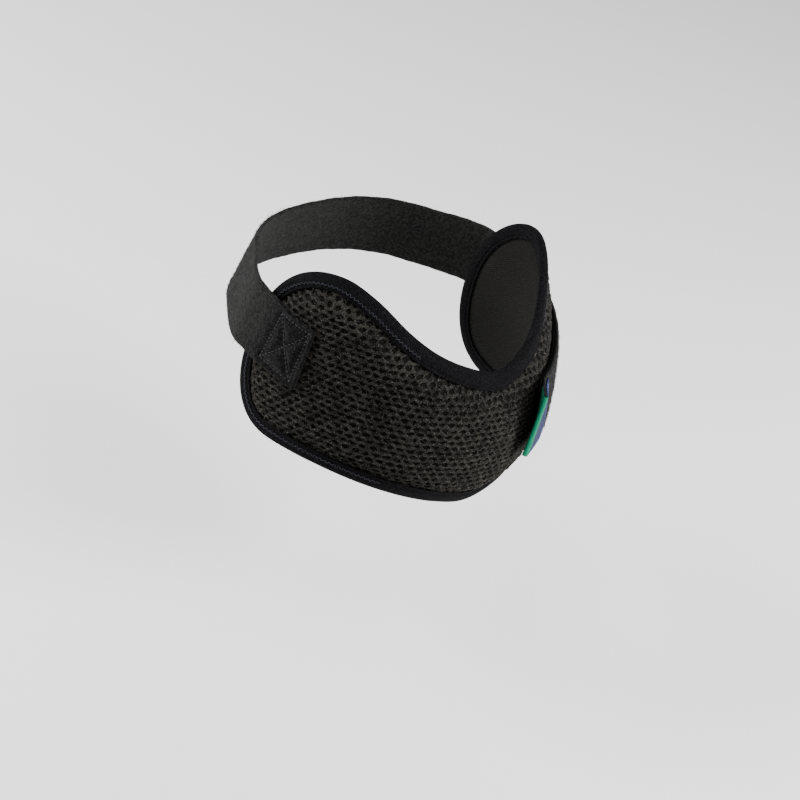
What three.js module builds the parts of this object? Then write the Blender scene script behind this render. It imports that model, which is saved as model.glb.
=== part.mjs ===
// Patella strap: a contoured, padded front band and a flat closing strap, closed as a loop.
// Millimetres, +Z up along the loop's axis. The middle of the pad faces -Y, and the strap is
// sewn on the lobe at -X. The origin is the middle of the loop.
//
// Every piece is laid out flat first: "along" runs round the loop from the middle of the front
// towards -X, "height" is Z, and "proud" is the distance outwards from the loop's inner surface.
import * as THREE from 'three';
import { mergeVertices } from 'three/addons/utils/BufferGeometryUtils.js';

// The loop's inner surface at mid height
const LOOP_HALF_WIDTH = 56.5;
const LOOP_FRONT_DEPTH = 56.5;
const LOOP_BACK_DEPTH = 50;

// The loop's outline is an oval at the power 2, and squarer above it
const FRONT_SQUARENESS = 2.05;
const BACK_SQUARENESS = 2.4;

// How much the radius grows for each millimetre of height
const FRONT_LEAN = -0.3;
const SIDE_LEAN = -0.06;
const BACK_LEAN = -0.15;

// The surface counts as the back once it faces this far from sideways, as a cosine
const BACK_FACING = 0.7;

// The front is barrel-shaped: it bows in by BARREL_DROP at BARREL_REACH above and below
const BARREL_DROP = 6.5;
const BARREL_REACH = 30;

// The gap that touching pieces keep
const CLEARANCE = 0.3;

// The pad's outline, with its binding
const PAD_LENGTH = 215;
const PAD_WAIST_HEIGHT = 53;
const PAD_WAIST_BOTTOM = -40.5;
const PAD_TOP_ARCH = 25.5;
const PAD_BOTTOM_ARCH = 10;
const PAD_TOP_CORNER = 30;
const PAD_BOTTOM_CORNER = 25;
const TOP_CORNER_POWER = 2;
const BOTTOM_CORNER_POWER = 2.4;

// The pad's thickness, at its middle and where the binding presses it
const PAD_THICKNESS = 6;
const PAD_EDGE_THICKNESS = 1.6;
const PAD_SHOULDER = 6;

// How far the pad's top and bottom edges have risen, as shares of their arches
const PAD_EDGES = [
  { along: 0.0, top: 0.0, bottom: 0.0 },
  { along: 0.15, top: 0.11, bottom: 0.27 },
  { along: 0.3, top: 0.29, bottom: 0.58 },
  { along: 0.43, top: 0.52, bottom: 0.8 },
  { along: 0.57, top: 0.82, bottom: 0.96 },
  { along: 0.68, top: 0.98, bottom: 1.0 },
  { along: 0.75, top: 1.0, bottom: 1.0 },
  { along: 1.0, top: 1.0, bottom: 1.0 },
];

// The pad swells from its pressed edge to its full thickness, as shares of the shoulder
const SHOULDER_PROFILE = [
  { inset: 0.0, swell: 0.0 },
  { inset: 0.3, swell: 0.55 },
  { inset: 0.6, swell: 0.88 },
  { inset: 1.0, swell: 1.0 },
];

// The tape folded over the pad's edge
const BINDING_WIDTH = 5.5;
const BINDING_THICKNESS = 0.8;
const BINDING_ROUND = 1.5;

// The strap: sewn on one lobe, round the back and over the other lobe to the front
const STRAP_WIDTH = 26;
const STRAP_THICKNESS = 1.6;
const STRAP_SEWN_LENGTH = 28.5;
const STRAP_STEP_DOWN = 25;
const STRAP_SEWN_RISE = 2.5;
const STRAP_BACK_RISE = 5;
const STRAP_RISE_LENGTH = 30;
const FREE_END_FROM_MIDDLE = 13;
const FREE_END_RISE = 6.8;
const FREE_END_LIFT = 3.2;
const FREE_END_CURL = 15;

// How far the free end turns from the pad's lean, at 0, to upright, at 1
const FREE_END_UPRIGHT = 0.8;

// The hook patch under the free end
const HOOK_LENGTH = 45;
const HOOK_WIDTH = 24;
const HOOK_THICKNESS = 1.2;
const HOOK_SETBACK = 9;
const HOOK_RAMP = 12;

// The label folded over the free end
const LABEL_WIDTH = 25;
const LABEL_LENGTH = 13;
const LABEL_TURN_UNDER = 5;
const LABEL_THICKNESS = 0.5;
const LABEL_FROM_LOWER_EDGE = 0.5;

// How finely the pieces are divided
const OUTLINE_STRAIGHT_STEPS = 14;
const OUTLINE_CORNER_STEPS = 8;
const PAD_INNER_RINGS = 4;
const ROUND_STEPS = 3;
const STRAP_STEP = 3;
const STRIP_ACROSS_STEPS = 4;
const LABEL_FOLD_STEPS = 6;
const SLOPE_SAMPLE = 0.5;

// Sizes that follow from those above
const PAD_HALF_LENGTH = PAD_LENGTH / 2;
const LOBE_HALF_HEIGHT = (PAD_WAIST_HEIGHT + PAD_TOP_ARCH - PAD_BOTTOM_ARCH) / 2;
const LOOP_RADIUS = (2 * LOOP_HALF_WIDTH + LOOP_FRONT_DEPTH + LOOP_BACK_DEPTH) / 4;
const GIRTH_RADIUS = LOOP_RADIUS + PAD_THICKNESS;
const GIRTH = 2 * Math.PI * GIRTH_RADIUS;
const EDGE_INSET = BINDING_THICKNESS + CLEARANCE;
const SHOULDER_INSET = BINDING_WIDTH + CLEARANCE;
const BINDING_DEPTH = PAD_EDGE_THICKNESS + 2 * EDGE_INSET;
const SEWN_END = PAD_HALF_LENGTH - STRAP_SEWN_LENGTH;
const FREE_END = GIRTH - FREE_END_FROM_MIDDLE;
const HOOK_END = FREE_END - HOOK_SETBACK;
const HOOK_START = HOOK_END - HOOK_LENGTH;
const CURL_START = FREE_END - FREE_END_CURL;

const FINISHES = {
  mesh: { color: 0x30312e, roughness: 0.95, metalness: 0 },
  tape: { color: 0x1b1b21, roughness: 0.9, metalness: 0 },
  loopCloth: { color: 0x393b38, roughness: 1, metalness: 0 },
  hookTape: { color: 0x151516, roughness: 0.8, metalness: 0 },
  woven: { color: 0x27407f, roughness: 0.7, metalness: 0 },
};

// 0 below start, 1 past end, and a smooth rise between
function rise(value, start, end) {
  return THREE.MathUtils.smoothstep(value, start, end);
}

// Slope of one column of a table at a row, level at both ends of the table
function tableSlope(rows, column, index) {
  if (index === 0 || index === rows.length - 1) {
    return 0;
  }
  const before = rows[index - 1];
  const after = rows[index + 1];
  return (after[column] - before[column]) / (after.along - before.along);
}

// Smooth reading of one column of a table of shares along the pad's half length
function tableValue(rows, column, share) {
  let next = 1;
  while (next < rows.length - 1 && rows[next].along < share) {
    next += 1;
  }
  const from = rows[next - 1];
  const to = rows[next];
  const span = to.along - from.along;
  const t = THREE.MathUtils.clamp((share - from.along) / span, 0, 1);
  const startPull = tableSlope(rows, column, next - 1) * span * t * (1 - t) ** 2;
  const endPull = tableSlope(rows, column, next) * span * t * t * (t - 1);
  return from[column] * (1 + 2 * t) * (1 - t) ** 2 + to[column] * t * t * (3 - 2 * t) + startPull + endPull;
}

// Radius of the loop's inner surface: a squarish oval that leans, and bows in at the front
function loopRadius(turn, height) {
  const facing = Math.cos(turn);
  const front = Math.max(facing, 0) ** 2;
  const back = rise(-facing, 0, BACK_FACING);
  const depth = facing > 0 ? LOOP_FRONT_DEPTH : LOOP_BACK_DEPTH;
  const power = facing > 0 ? FRONT_SQUARENESS : BACK_SQUARENESS;
  const across = Math.abs(Math.sin(turn) / LOOP_HALF_WIDTH) ** power;
  const deep = Math.abs(facing / depth) ** power;
  const lean = FRONT_LEAN * front + BACK_LEAN * back + SIDE_LEAN * (1 - front - back);
  const bow = BARREL_DROP * front * (height / BARREL_REACH) ** 2;
  return (across + deep) ** (-1 / power) + lean * height - bow;
}

// Takes a place on the flat layout to its place on the loop
function onLoop(along, height, proud) {
  const turn = along / GIRTH_RADIUS;
  const radius = loopRadius(turn, height) + proud;
  return new THREE.Vector3(-radius * Math.sin(turn), -radius * Math.cos(turn), height);
}

// Distance from the middle of the front, the shorter way round
function fromMiddle(along) {
  return Math.abs(along - GIRTH * Math.round(along / GIRTH));
}

// Heights of the pad's top and bottom edges before its corners are rounded
function padTop(along) {
  const share = fromMiddle(along) / PAD_HALF_LENGTH;
  return PAD_WAIST_BOTTOM + PAD_WAIST_HEIGHT + PAD_TOP_ARCH * tableValue(PAD_EDGES, 'top', share);
}

function padBottom(along) {
  const share = fromMiddle(along) / PAD_HALF_LENGTH;
  return PAD_WAIST_BOTTOM + PAD_BOTTOM_ARCH * tableValue(PAD_EDGES, 'bottom', share);
}

// Height of the line midway between those edges
function spineHeight(along) {
  return (padTop(along) + padBottom(along)) / 2;
}

// How far the free end has left the strap's run: 0 up to a place, and 1 at the free end
function leaving(along, from) {
  return (Math.max(along - from, 0) / (FREE_END - from)) ** 2;
}

// Height of the strap's middle line: its sewn end sits above the middle of the pad, it climbs
// towards the back, and its free end stays above the dip of the pad's waist
function strapHeight(along) {
  const sewn = STRAP_SEWN_RISE * (1 - rise(along - SEWN_END, 0, STRAP_RISE_LENGTH));
  const climb = STRAP_BACK_RISE * rise(fromMiddle(along) - SEWN_END, 0, STRAP_RISE_LENGTH);
  return spineHeight(along) + sewn + climb + FREE_END_RISE * leaving(along, HOOK_START);
}

function strapSlope(along) {
  return (strapHeight(along + SLOPE_SAMPLE) - strapHeight(along - SLOPE_SAMPLE)) / (2 * SLOPE_SAMPLE);
}

// Share of the half height that a rounded corner leaves, at a distance from the middle
function cornerShare(along, corner, power) {
  const into = Math.max(Math.abs(along) - (PAD_HALF_LENGTH - corner), 0) / corner;
  return Math.max(1 - into ** power, 0) ** (1 / power);
}

// Stations along half of the pad, close together where its end turns
function halfStations() {
  const stations = [];
  const straight = PAD_HALF_LENGTH - PAD_TOP_CORNER;
  for (let i = 0; i < OUTLINE_STRAIGHT_STEPS; i += 1) {
    stations.push((straight * i) / OUTLINE_STRAIGHT_STEPS);
  }
  for (let i = 0; i <= OUTLINE_CORNER_STEPS; i += 1) {
    const angle = (i / OUTLINE_CORNER_STEPS) * (Math.PI / 2);
    stations.push(straight + PAD_TOP_CORNER * Math.sin(angle));
  }
  return stations;
}

// The pad's closed outline on the flat layout: x is along, y is height
function padOutline() {
  const half = halfStations();
  const upper = (along) => {
    const share = cornerShare(along, PAD_TOP_CORNER, TOP_CORNER_POWER);
    return THREE.MathUtils.lerp(spineHeight(along), padTop(along), share);
  };
  const lower = (along) => {
    const share = cornerShare(along, PAD_BOTTOM_CORNER, BOTTOM_CORNER_POWER);
    return THREE.MathUtils.lerp(spineHeight(along), padBottom(along), share);
  };
  const inwards = half.slice(0, -1).reverse();
  const outline = [];
  half.forEach((along) => outline.push(new THREE.Vector2(along, upper(along))));
  inwards.forEach((along) => outline.push(new THREE.Vector2(along, lower(along))));
  half.slice(1).forEach((along) => outline.push(new THREE.Vector2(-along, lower(along))));
  inwards.slice(0, -1).forEach((along) => outline.push(new THREE.Vector2(-along, upper(along))));
  return outline;
}

// The outline moved inwards by a distance, square to its edge
function insetOutline(outline, inset) {
  return outline.map((point, i) => {
    const before = outline[(i + outline.length - 1) % outline.length];
    const after = outline[(i + 1) % outline.length];
    const run = after.clone().sub(before).normalize();
    return new THREE.Vector2(point.x + run.y * inset, point.y - run.x * inset);
  });
}

// Merges shared vertices and drops triangles that have closed to a line
function closedBody(geometry) {
  geometry.deleteAttribute('normal');
  geometry.deleteAttribute('uv');
  const merged = mergeVertices(geometry);
  const index = merged.getIndex();
  const kept = [];
  for (let i = 0; i < index.count; i += 3) {
    const corners = [index.getX(i), index.getX(i + 1), index.getX(i + 2)];
    if (new Set(corners).size === 3) {
      kept.push(...corners);
    }
  }
  merged.setIndex(kept);
  merged.computeVertexNormals();
  return merged;
}

// A body whose surface is a grid: rings of the same number of points, joined one to the next
function ringBody(rings, closed) {
  const around = rings[0].length;
  const bands = closed ? rings.length : rings.length - 1;
  const grid = new THREE.PlaneGeometry(1, 1, around, bands);
  const position = grid.getAttribute('position');
  for (let i = 0; i < position.count; i += 1) {
    const column = Math.round((position.getX(i) + 0.5) * around) % around;
    const ring = Math.round((0.5 - position.getY(i)) * bands) % rings.length;
    const point = rings[ring][column];
    position.setXYZ(i, point.x, point.y, point.z);
  }
  return closedBody(grid);
}

// Places a flat ring of points on the loop at one distance from its inner surface
function placeRing(ring, proud) {
  return ring.map((point) => onLoop(point.x, point.y, proud));
}

// One face of the pad as flat rings with their swell, from the pressed edge to the middle line
function padFaceRings(outline) {
  const rings = [{ ring: insetOutline(outline, EDGE_INSET), swell: 0 }];
  SHOULDER_PROFILE.forEach((row) => {
    const ring = insetOutline(outline, SHOULDER_INSET + PAD_SHOULDER * row.inset);
    rings.push({ ring, swell: row.swell });
  });
  const full = rings[rings.length - 1].ring;
  const spineReach = PAD_HALF_LENGTH - LOBE_HALF_HEIGHT;
  const spine = full.map((point, i) => {
    const along = THREE.MathUtils.clamp(outline[i].x, -spineReach, spineReach);
    return new THREE.Vector2(along, spineHeight(along));
  });
  for (let k = 1; k <= PAD_INNER_RINGS; k += 1) {
    const share = k / PAD_INNER_RINGS;
    rings.push({ ring: full.map((point, i) => point.clone().lerp(spine[i], share)), swell: 1 });
  }
  return rings;
}

// The pad: an outer and an inner face that meet at the edge pressed inside the binding
function makePad() {
  const face = padFaceRings(padOutline());
  const swollen = (edge, full) => {
    return face.map(({ ring, swell }) => placeRing(ring, THREE.MathUtils.lerp(edge, full, swell)));
  };
  const outer = swollen(EDGE_INSET + PAD_EDGE_THICKNESS, PAD_THICKNESS);
  const inner = swollen(EDGE_INSET, 0);
  return ringBody([...outer.reverse(), ...inner], false);
}

// Section of the folded tape: inset from the outline, and distance from the loop's surface
function bindingSection() {
  const section = [];
  for (let i = 0; i <= ROUND_STEPS; i += 1) {
    const angle = (i / ROUND_STEPS) * (Math.PI / 2);
    const inset = BINDING_ROUND * (1 - Math.sin(angle));
    section.push({ inset, proud: BINDING_ROUND * (1 - Math.cos(angle)) });
  }
  for (let i = 0; i <= ROUND_STEPS; i += 1) {
    const angle = (i / ROUND_STEPS) * (Math.PI / 2);
    const inset = BINDING_ROUND * (1 - Math.cos(angle));
    section.push({ inset, proud: BINDING_DEPTH - BINDING_ROUND * (1 - Math.sin(angle)) });
  }
  const inside = BINDING_DEPTH - BINDING_THICKNESS;
  section.push({ inset: BINDING_WIDTH, proud: BINDING_DEPTH });
  section.push({ inset: BINDING_WIDTH, proud: inside });
  section.push({ inset: BINDING_THICKNESS, proud: inside });
  section.push({ inset: BINDING_THICKNESS, proud: BINDING_THICKNESS });
  section.push({ inset: BINDING_WIDTH, proud: BINDING_THICKNESS });
  section.push({ inset: BINDING_WIDTH, proud: 0 });
  return section;
}

function makeBinding() {
  const outline = padOutline();
  const rings = bindingSection().map(({ inset, proud }) => placeRing(insetOutline(outline, inset), proud));
  return ringBody(rings.reverse(), true);
}

// Share of the pad's height that the strap keeps, past the pad's end by a distance
function stepShare(past) {
  const t = THREE.MathUtils.clamp(past / STRAP_STEP_DOWN, 0, 1);
  return (1 - t) ** 2 * (1 + t);
}

// Distance of the strap's inner face from the loop's inner surface
function strapLift(along) {
  const beyondPad = fromMiddle(along) - PAD_HALF_LENGTH;
  const overPad = (PAD_THICKNESS + CLEARANCE) * stepShare(beyondPad);
  const overHook = (HOOK_THICKNESS + CLEARANCE) * rise(along, HOOK_START - HOOK_RAMP, HOOK_START);
  return overPad + overHook + FREE_END_LIFT * leaving(along, CURL_START);
}

// A place on the strap: along its middle line, across it, and out from the loop's surface. The
// free end stands upright, so its upper edge leaves the leaning pad.
function onStrap(along, across, proud) {
  const slope = strapSlope(along);
  const length = Math.hypot(1, slope);
  const middle = strapHeight(along);
  const place = along - (across * slope) / length;
  const height = middle + across / length;
  const turn = place / GIRTH_RADIUS;
  const lean = loopRadius(turn, middle) - loopRadius(turn, height);
  return onLoop(place, height, proud + FREE_END_UPRIGHT * leaving(along, CURL_START) * lean);
}

// Evenly spaced places from one end of a stretch to the other
function evenSteps(start, end, step) {
  const count = Math.max(Math.round((end - start) / step), 1);
  return Array.from({ length: count + 1 }, (_, i) => THREE.MathUtils.lerp(start, end, i / count));
}

// A flat strip that follows stations: each has a place along and out, and the way it faces,
// as an angle from straight outwards
function stripBody(stations, lowerEdge, width, thickness) {
  const last = stations.length - 1;
  const box = new THREE.BoxGeometry(1, 1, 1, STRIP_ACROSS_STEPS, last, 1);
  const position = box.getAttribute('position');
  for (let i = 0; i < position.count; i += 1) {
    const station = stations[Math.round((position.getY(i) + 0.5) * last)];
    const across = lowerEdge + width * (position.getX(i) + 0.5);
    const out = thickness * position.getZ(i);
    const along = station.along + out * Math.sin(station.facing);
    const point = onStrap(along, across, station.proud + out * Math.cos(station.facing));
    position.setXYZ(i, point.x, point.y, point.z);
  }
  return closedBody(box);
}

function makeStrap() {
  const stations = evenSteps(SEWN_END, FREE_END, STRAP_STEP).map((along) => {
    return { along, proud: strapLift(along) + STRAP_THICKNESS / 2, facing: 0 };
  });
  return stripBody(stations, -STRAP_WIDTH / 2, STRAP_WIDTH, STRAP_THICKNESS);
}

function makeHookPatch() {
  const stations = evenSteps(HOOK_START, HOOK_END, STRAP_STEP).map((along) => {
    return { along, proud: strapLift(along) - CLEARANCE - HOOK_THICKNESS / 2, facing: 0 };
  });
  return stripBody(stations, -HOOK_WIDTH / 2, HOOK_WIDTH, HOOK_THICKNESS);
}

// The label lies on the strap's outer face, folds round its free end and turns under it
function makeLabel() {
  const gap = CLEARANCE + LABEL_THICKNESS / 2;
  const foldRadius = STRAP_THICKNESS / 2 + gap;
  const foldMiddle = strapLift(FREE_END) + STRAP_THICKNESS / 2;
  const stations = evenSteps(FREE_END - LABEL_LENGTH, FREE_END, STRAP_STEP).map((along) => {
    return { along, proud: strapLift(along) + STRAP_THICKNESS + gap, facing: 0 };
  });
  for (let i = 1; i < LABEL_FOLD_STEPS; i += 1) {
    const facing = (Math.PI * i) / LABEL_FOLD_STEPS;
    const along = FREE_END + foldRadius * Math.sin(facing);
    stations.push({ along, proud: foldMiddle + foldRadius * Math.cos(facing), facing });
  }
  evenSteps(0, LABEL_TURN_UNDER, STRAP_STEP).forEach((back) => {
    const along = FREE_END - back;
    stations.push({ along, proud: strapLift(along) - gap, facing: Math.PI });
  });
  const lowerEdge = LABEL_FROM_LOWER_EDGE - STRAP_WIDTH / 2;
  return stripBody(stations, lowerEdge, LABEL_WIDTH, LABEL_THICKNESS);
}

function makePiece(name, geometry, finish) {
  const piece = new THREE.Mesh(geometry, new THREE.MeshStandardMaterial(finish));
  piece.name = name;
  return piece;
}

const patellaStrap = new THREE.Group();
patellaStrap.add(makePiece('pad', makePad(), FINISHES.mesh));
patellaStrap.add(makePiece('edge_binding', makeBinding(), FINISHES.tape));
patellaStrap.add(makePiece('back_strap', makeStrap(), FINISHES.loopCloth));
patellaStrap.add(makePiece('hook_patch', makeHookPatch(), FINISHES.hookTape));
patellaStrap.add(makePiece('label', makeLabel(), FINISHES.woven));

export default patellaStrap;
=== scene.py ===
"""The looks of a patella strap: a padded mesh front with a bound edge, closed by a brushed strap.

Every piece is laid out flat first: "along" runs round the loop from the middle of the front,
"height" is Z, and "proud" is the distance outwards from the loop's inner surface. One formula
then wraps that flat layout round the loop. Lengths are in metres.
"""

import logging
import math
from collections.abc import Callable, Sequence
from dataclasses import dataclass, field
from enum import Enum

import bmesh
import bpy
import numpy as np
from mathutils import Matrix, Vector


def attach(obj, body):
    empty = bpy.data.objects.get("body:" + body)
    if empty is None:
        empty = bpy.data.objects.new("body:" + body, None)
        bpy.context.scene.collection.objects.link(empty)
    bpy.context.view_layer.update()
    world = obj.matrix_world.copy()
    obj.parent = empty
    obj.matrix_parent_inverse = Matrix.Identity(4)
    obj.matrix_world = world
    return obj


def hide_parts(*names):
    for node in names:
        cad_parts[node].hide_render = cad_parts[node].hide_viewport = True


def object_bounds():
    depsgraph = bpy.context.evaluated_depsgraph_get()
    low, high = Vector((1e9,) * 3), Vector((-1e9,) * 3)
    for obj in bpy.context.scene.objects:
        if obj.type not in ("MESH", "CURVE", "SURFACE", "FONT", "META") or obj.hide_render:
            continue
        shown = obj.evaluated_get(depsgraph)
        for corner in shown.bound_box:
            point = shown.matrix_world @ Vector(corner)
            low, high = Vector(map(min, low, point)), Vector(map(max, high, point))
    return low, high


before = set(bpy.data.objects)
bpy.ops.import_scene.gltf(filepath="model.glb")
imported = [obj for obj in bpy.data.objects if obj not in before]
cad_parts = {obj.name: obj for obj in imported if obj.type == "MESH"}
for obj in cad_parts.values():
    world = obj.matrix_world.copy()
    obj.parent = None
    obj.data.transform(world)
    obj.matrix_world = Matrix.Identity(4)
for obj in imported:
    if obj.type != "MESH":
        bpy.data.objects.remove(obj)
CAD_BOX = [list(corner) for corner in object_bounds()]
MERGE_DISTANCE = 1e-6
LEAST_EDGE = 1e-7

Array = np.ndarray
Wrap = Callable[[Array], Array]
Colour = tuple[float, float, float]
Span = tuple[float, float]

log = logging.getLogger("patella_strap")


def smooth_rise(value: Array, start: float, end: float) -> Array:
    """Returns 0 below start, 1 past end, and a smooth rise between."""
    share = np.clip((value - start) / (end - start), 0.0, 1.0)
    return share * share * (3.0 - 2.0 * share)


def distance_to_runs(points: Array, runs: Sequence[Array]) -> Array:
    """Finds how far points lie from the nearest of several runs of straight lines.

    Args:
        points: Places on a flat layout, one row each.
        runs: Each run's corners in order, one row each.

    Returns:
        One distance for each point.
    """
    nearest = np.full(len(points), np.inf)
    for run in runs:
        for start, end in zip(run[:-1], run[1:]):
            step = end - start
            share = np.clip((points - start) @ step / (step @ step), 0.0, 1.0)
            reach = np.linalg.norm(points - start - share[:, None] * step, axis=1)
            nearest = np.minimum(nearest, reach)
    return nearest


def steps_round(ring: Array) -> Array:
    """Returns the length of each step round a closed ring of points."""
    return np.linalg.norm(np.diff(ring, axis=0, append=ring[:1]), axis=1)


def run_lengths(steps: Array) -> Array:
    """Returns how far each point of a run lies from its start, given the steps between them."""
    return np.concatenate([[0.0], np.cumsum(steps)])


def raised(places: Array, proud: float) -> Array:
    """Returns flat places (along, height) with one distance outwards for all of them."""
    return np.column_stack([places, np.full(len(places), proud)])


def laid(flat: Array, wrap: Wrap) -> Array:
    """Takes a grid of flat places to their places on the object."""
    return wrap(flat.reshape(-1, 3)).reshape(flat.shape)


@dataclass(frozen=True)
class Ripple:
    """An even wave over the flat layout, in radians a metre, bent by a second wave across it."""

    turns: float
    bend: float
    bend_turns: float

    def over(self, run: Array, across: Array) -> Array:
        """Returns the wave, from -1 to 1, at places along it and across it."""
        return np.sin(run * self.turns + self.bend * np.sin(across * self.bend_turns))


class Seam(Enum):
    """How the stitches of a seam lie, as the share of the slant that each second one keeps."""

    SLANTED = 1.0
    ZIGZAG = -1.0


@dataclass(frozen=True)
class Stitch:
    """The sizes of a seam's stitches, their slant in radians, and how they lie."""

    spacing: float
    length: float
    thread: float
    slant: float
    seam: Seam = Seam.SLANTED

    def sizes(self) -> dict[str, float]:
        """Lists the values for the stitch tree's inputs.

        Returns:
            Each value by the name of its input.
        """
        return {
            "Spacing": self.spacing,
            "Stitch Length": self.length,
            "Thread": self.thread,
            "Slant": self.slant,
            "Alternate": self.seam.value,
        }


@dataclass(frozen=True)
class Fibres:
    """Loose fibres: how many stand on a square metre, and the sizes of each."""

    density: float
    length: float
    height: float
    radius: float

    def sizes(self) -> dict[str, float]:
        """Lists the values for the nap tree's inputs.

        Returns:
            Each value by the name of its input.
        """
        return {
            "Density": self.density,
            "Fibre Length": self.length,
            "Fibre Height": self.height,
            "Fibre Radius": self.radius,
        }


@dataclass(frozen=True)
class Loop:
    """The loop that every piece is wrapped round: a squarish oval that leans and bows."""

    half_width: float = 0.0565
    front_depth: float = 0.0565
    back_depth: float = 0.050
    front_squareness: float = 2.05
    back_squareness: float = 2.4
    front_lean: float = -0.3
    side_lean: float = -0.06
    back_lean: float = -0.15
    back_facing: float = 0.7
    barrel_drop: float = 0.0065
    barrel_reach: float = 0.030
    padding: float = 0.006

    @property
    def girth_radius(self) -> float:
        """Returns the radius that turns a length on the flat layout into an angle."""
        return (2 * self.half_width + self.front_depth + self.back_depth) / 4 + self.padding

    @property
    def girth(self) -> float:
        """Returns the length once round the loop."""
        return 2 * math.pi * self.girth_radius

    def from_middle(self, along: Array) -> Array:
        """Returns the distance from the middle of the front, the shorter way round."""
        return np.abs(along - self.girth * np.round(along / self.girth))

    def radius(self, turn: Array, height: Array) -> Array:
        """Works out the radius of the loop's inner surface.

        Args:
            turn: Angles from the middle of the front, in radians.
            height: Heights of the same places.

        Returns:
            The distance of each place from the loop's axis.
        """
        facing = np.cos(turn)
        front = np.maximum(facing, 0.0) ** 2
        back = smooth_rise(-facing, 0.0, self.back_facing)
        depth = np.where(facing > 0, self.front_depth, self.back_depth)
        power = np.where(facing > 0, self.front_squareness, self.back_squareness)
        across = np.abs(np.sin(turn) / self.half_width) ** power
        deep = np.abs(facing / depth) ** power
        lean = self.front_lean * front + self.back_lean * back + self.side_lean * (1 - front - back)
        bow = self.barrel_drop * front * (height / self.barrel_reach) ** 2
        return (across + deep) ** (-1 / power) + lean * height - bow

    def proud_of(self, points: Array) -> Array:
        """Returns how far out from the loop's inner surface places in space lie."""
        turn = np.arctan2(-points[:, 0], -points[:, 1])
        return np.hypot(points[:, 0], points[:, 1]) - self.radius(turn, points[:, 2])

    def wrap(self, flat: Array) -> Array:
        """Takes places on the flat layout to their places on the loop.

        Args:
            flat: Places on the flat layout, one row (along, height, proud) each.

        Returns:
            The same places in space.
        """
        turn = flat[:, 0] / self.girth_radius
        radius = self.radius(turn, flat[:, 1]) + flat[:, 2]
        return np.stack([-radius * np.sin(turn), -radius * np.cos(turn), flat[:, 1]], axis=1)


@dataclass(frozen=True)
class EdgeRow:
    """How far the pad's top and bottom edges have risen at a share of its half length."""

    along: float
    top: float
    bottom: float


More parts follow.
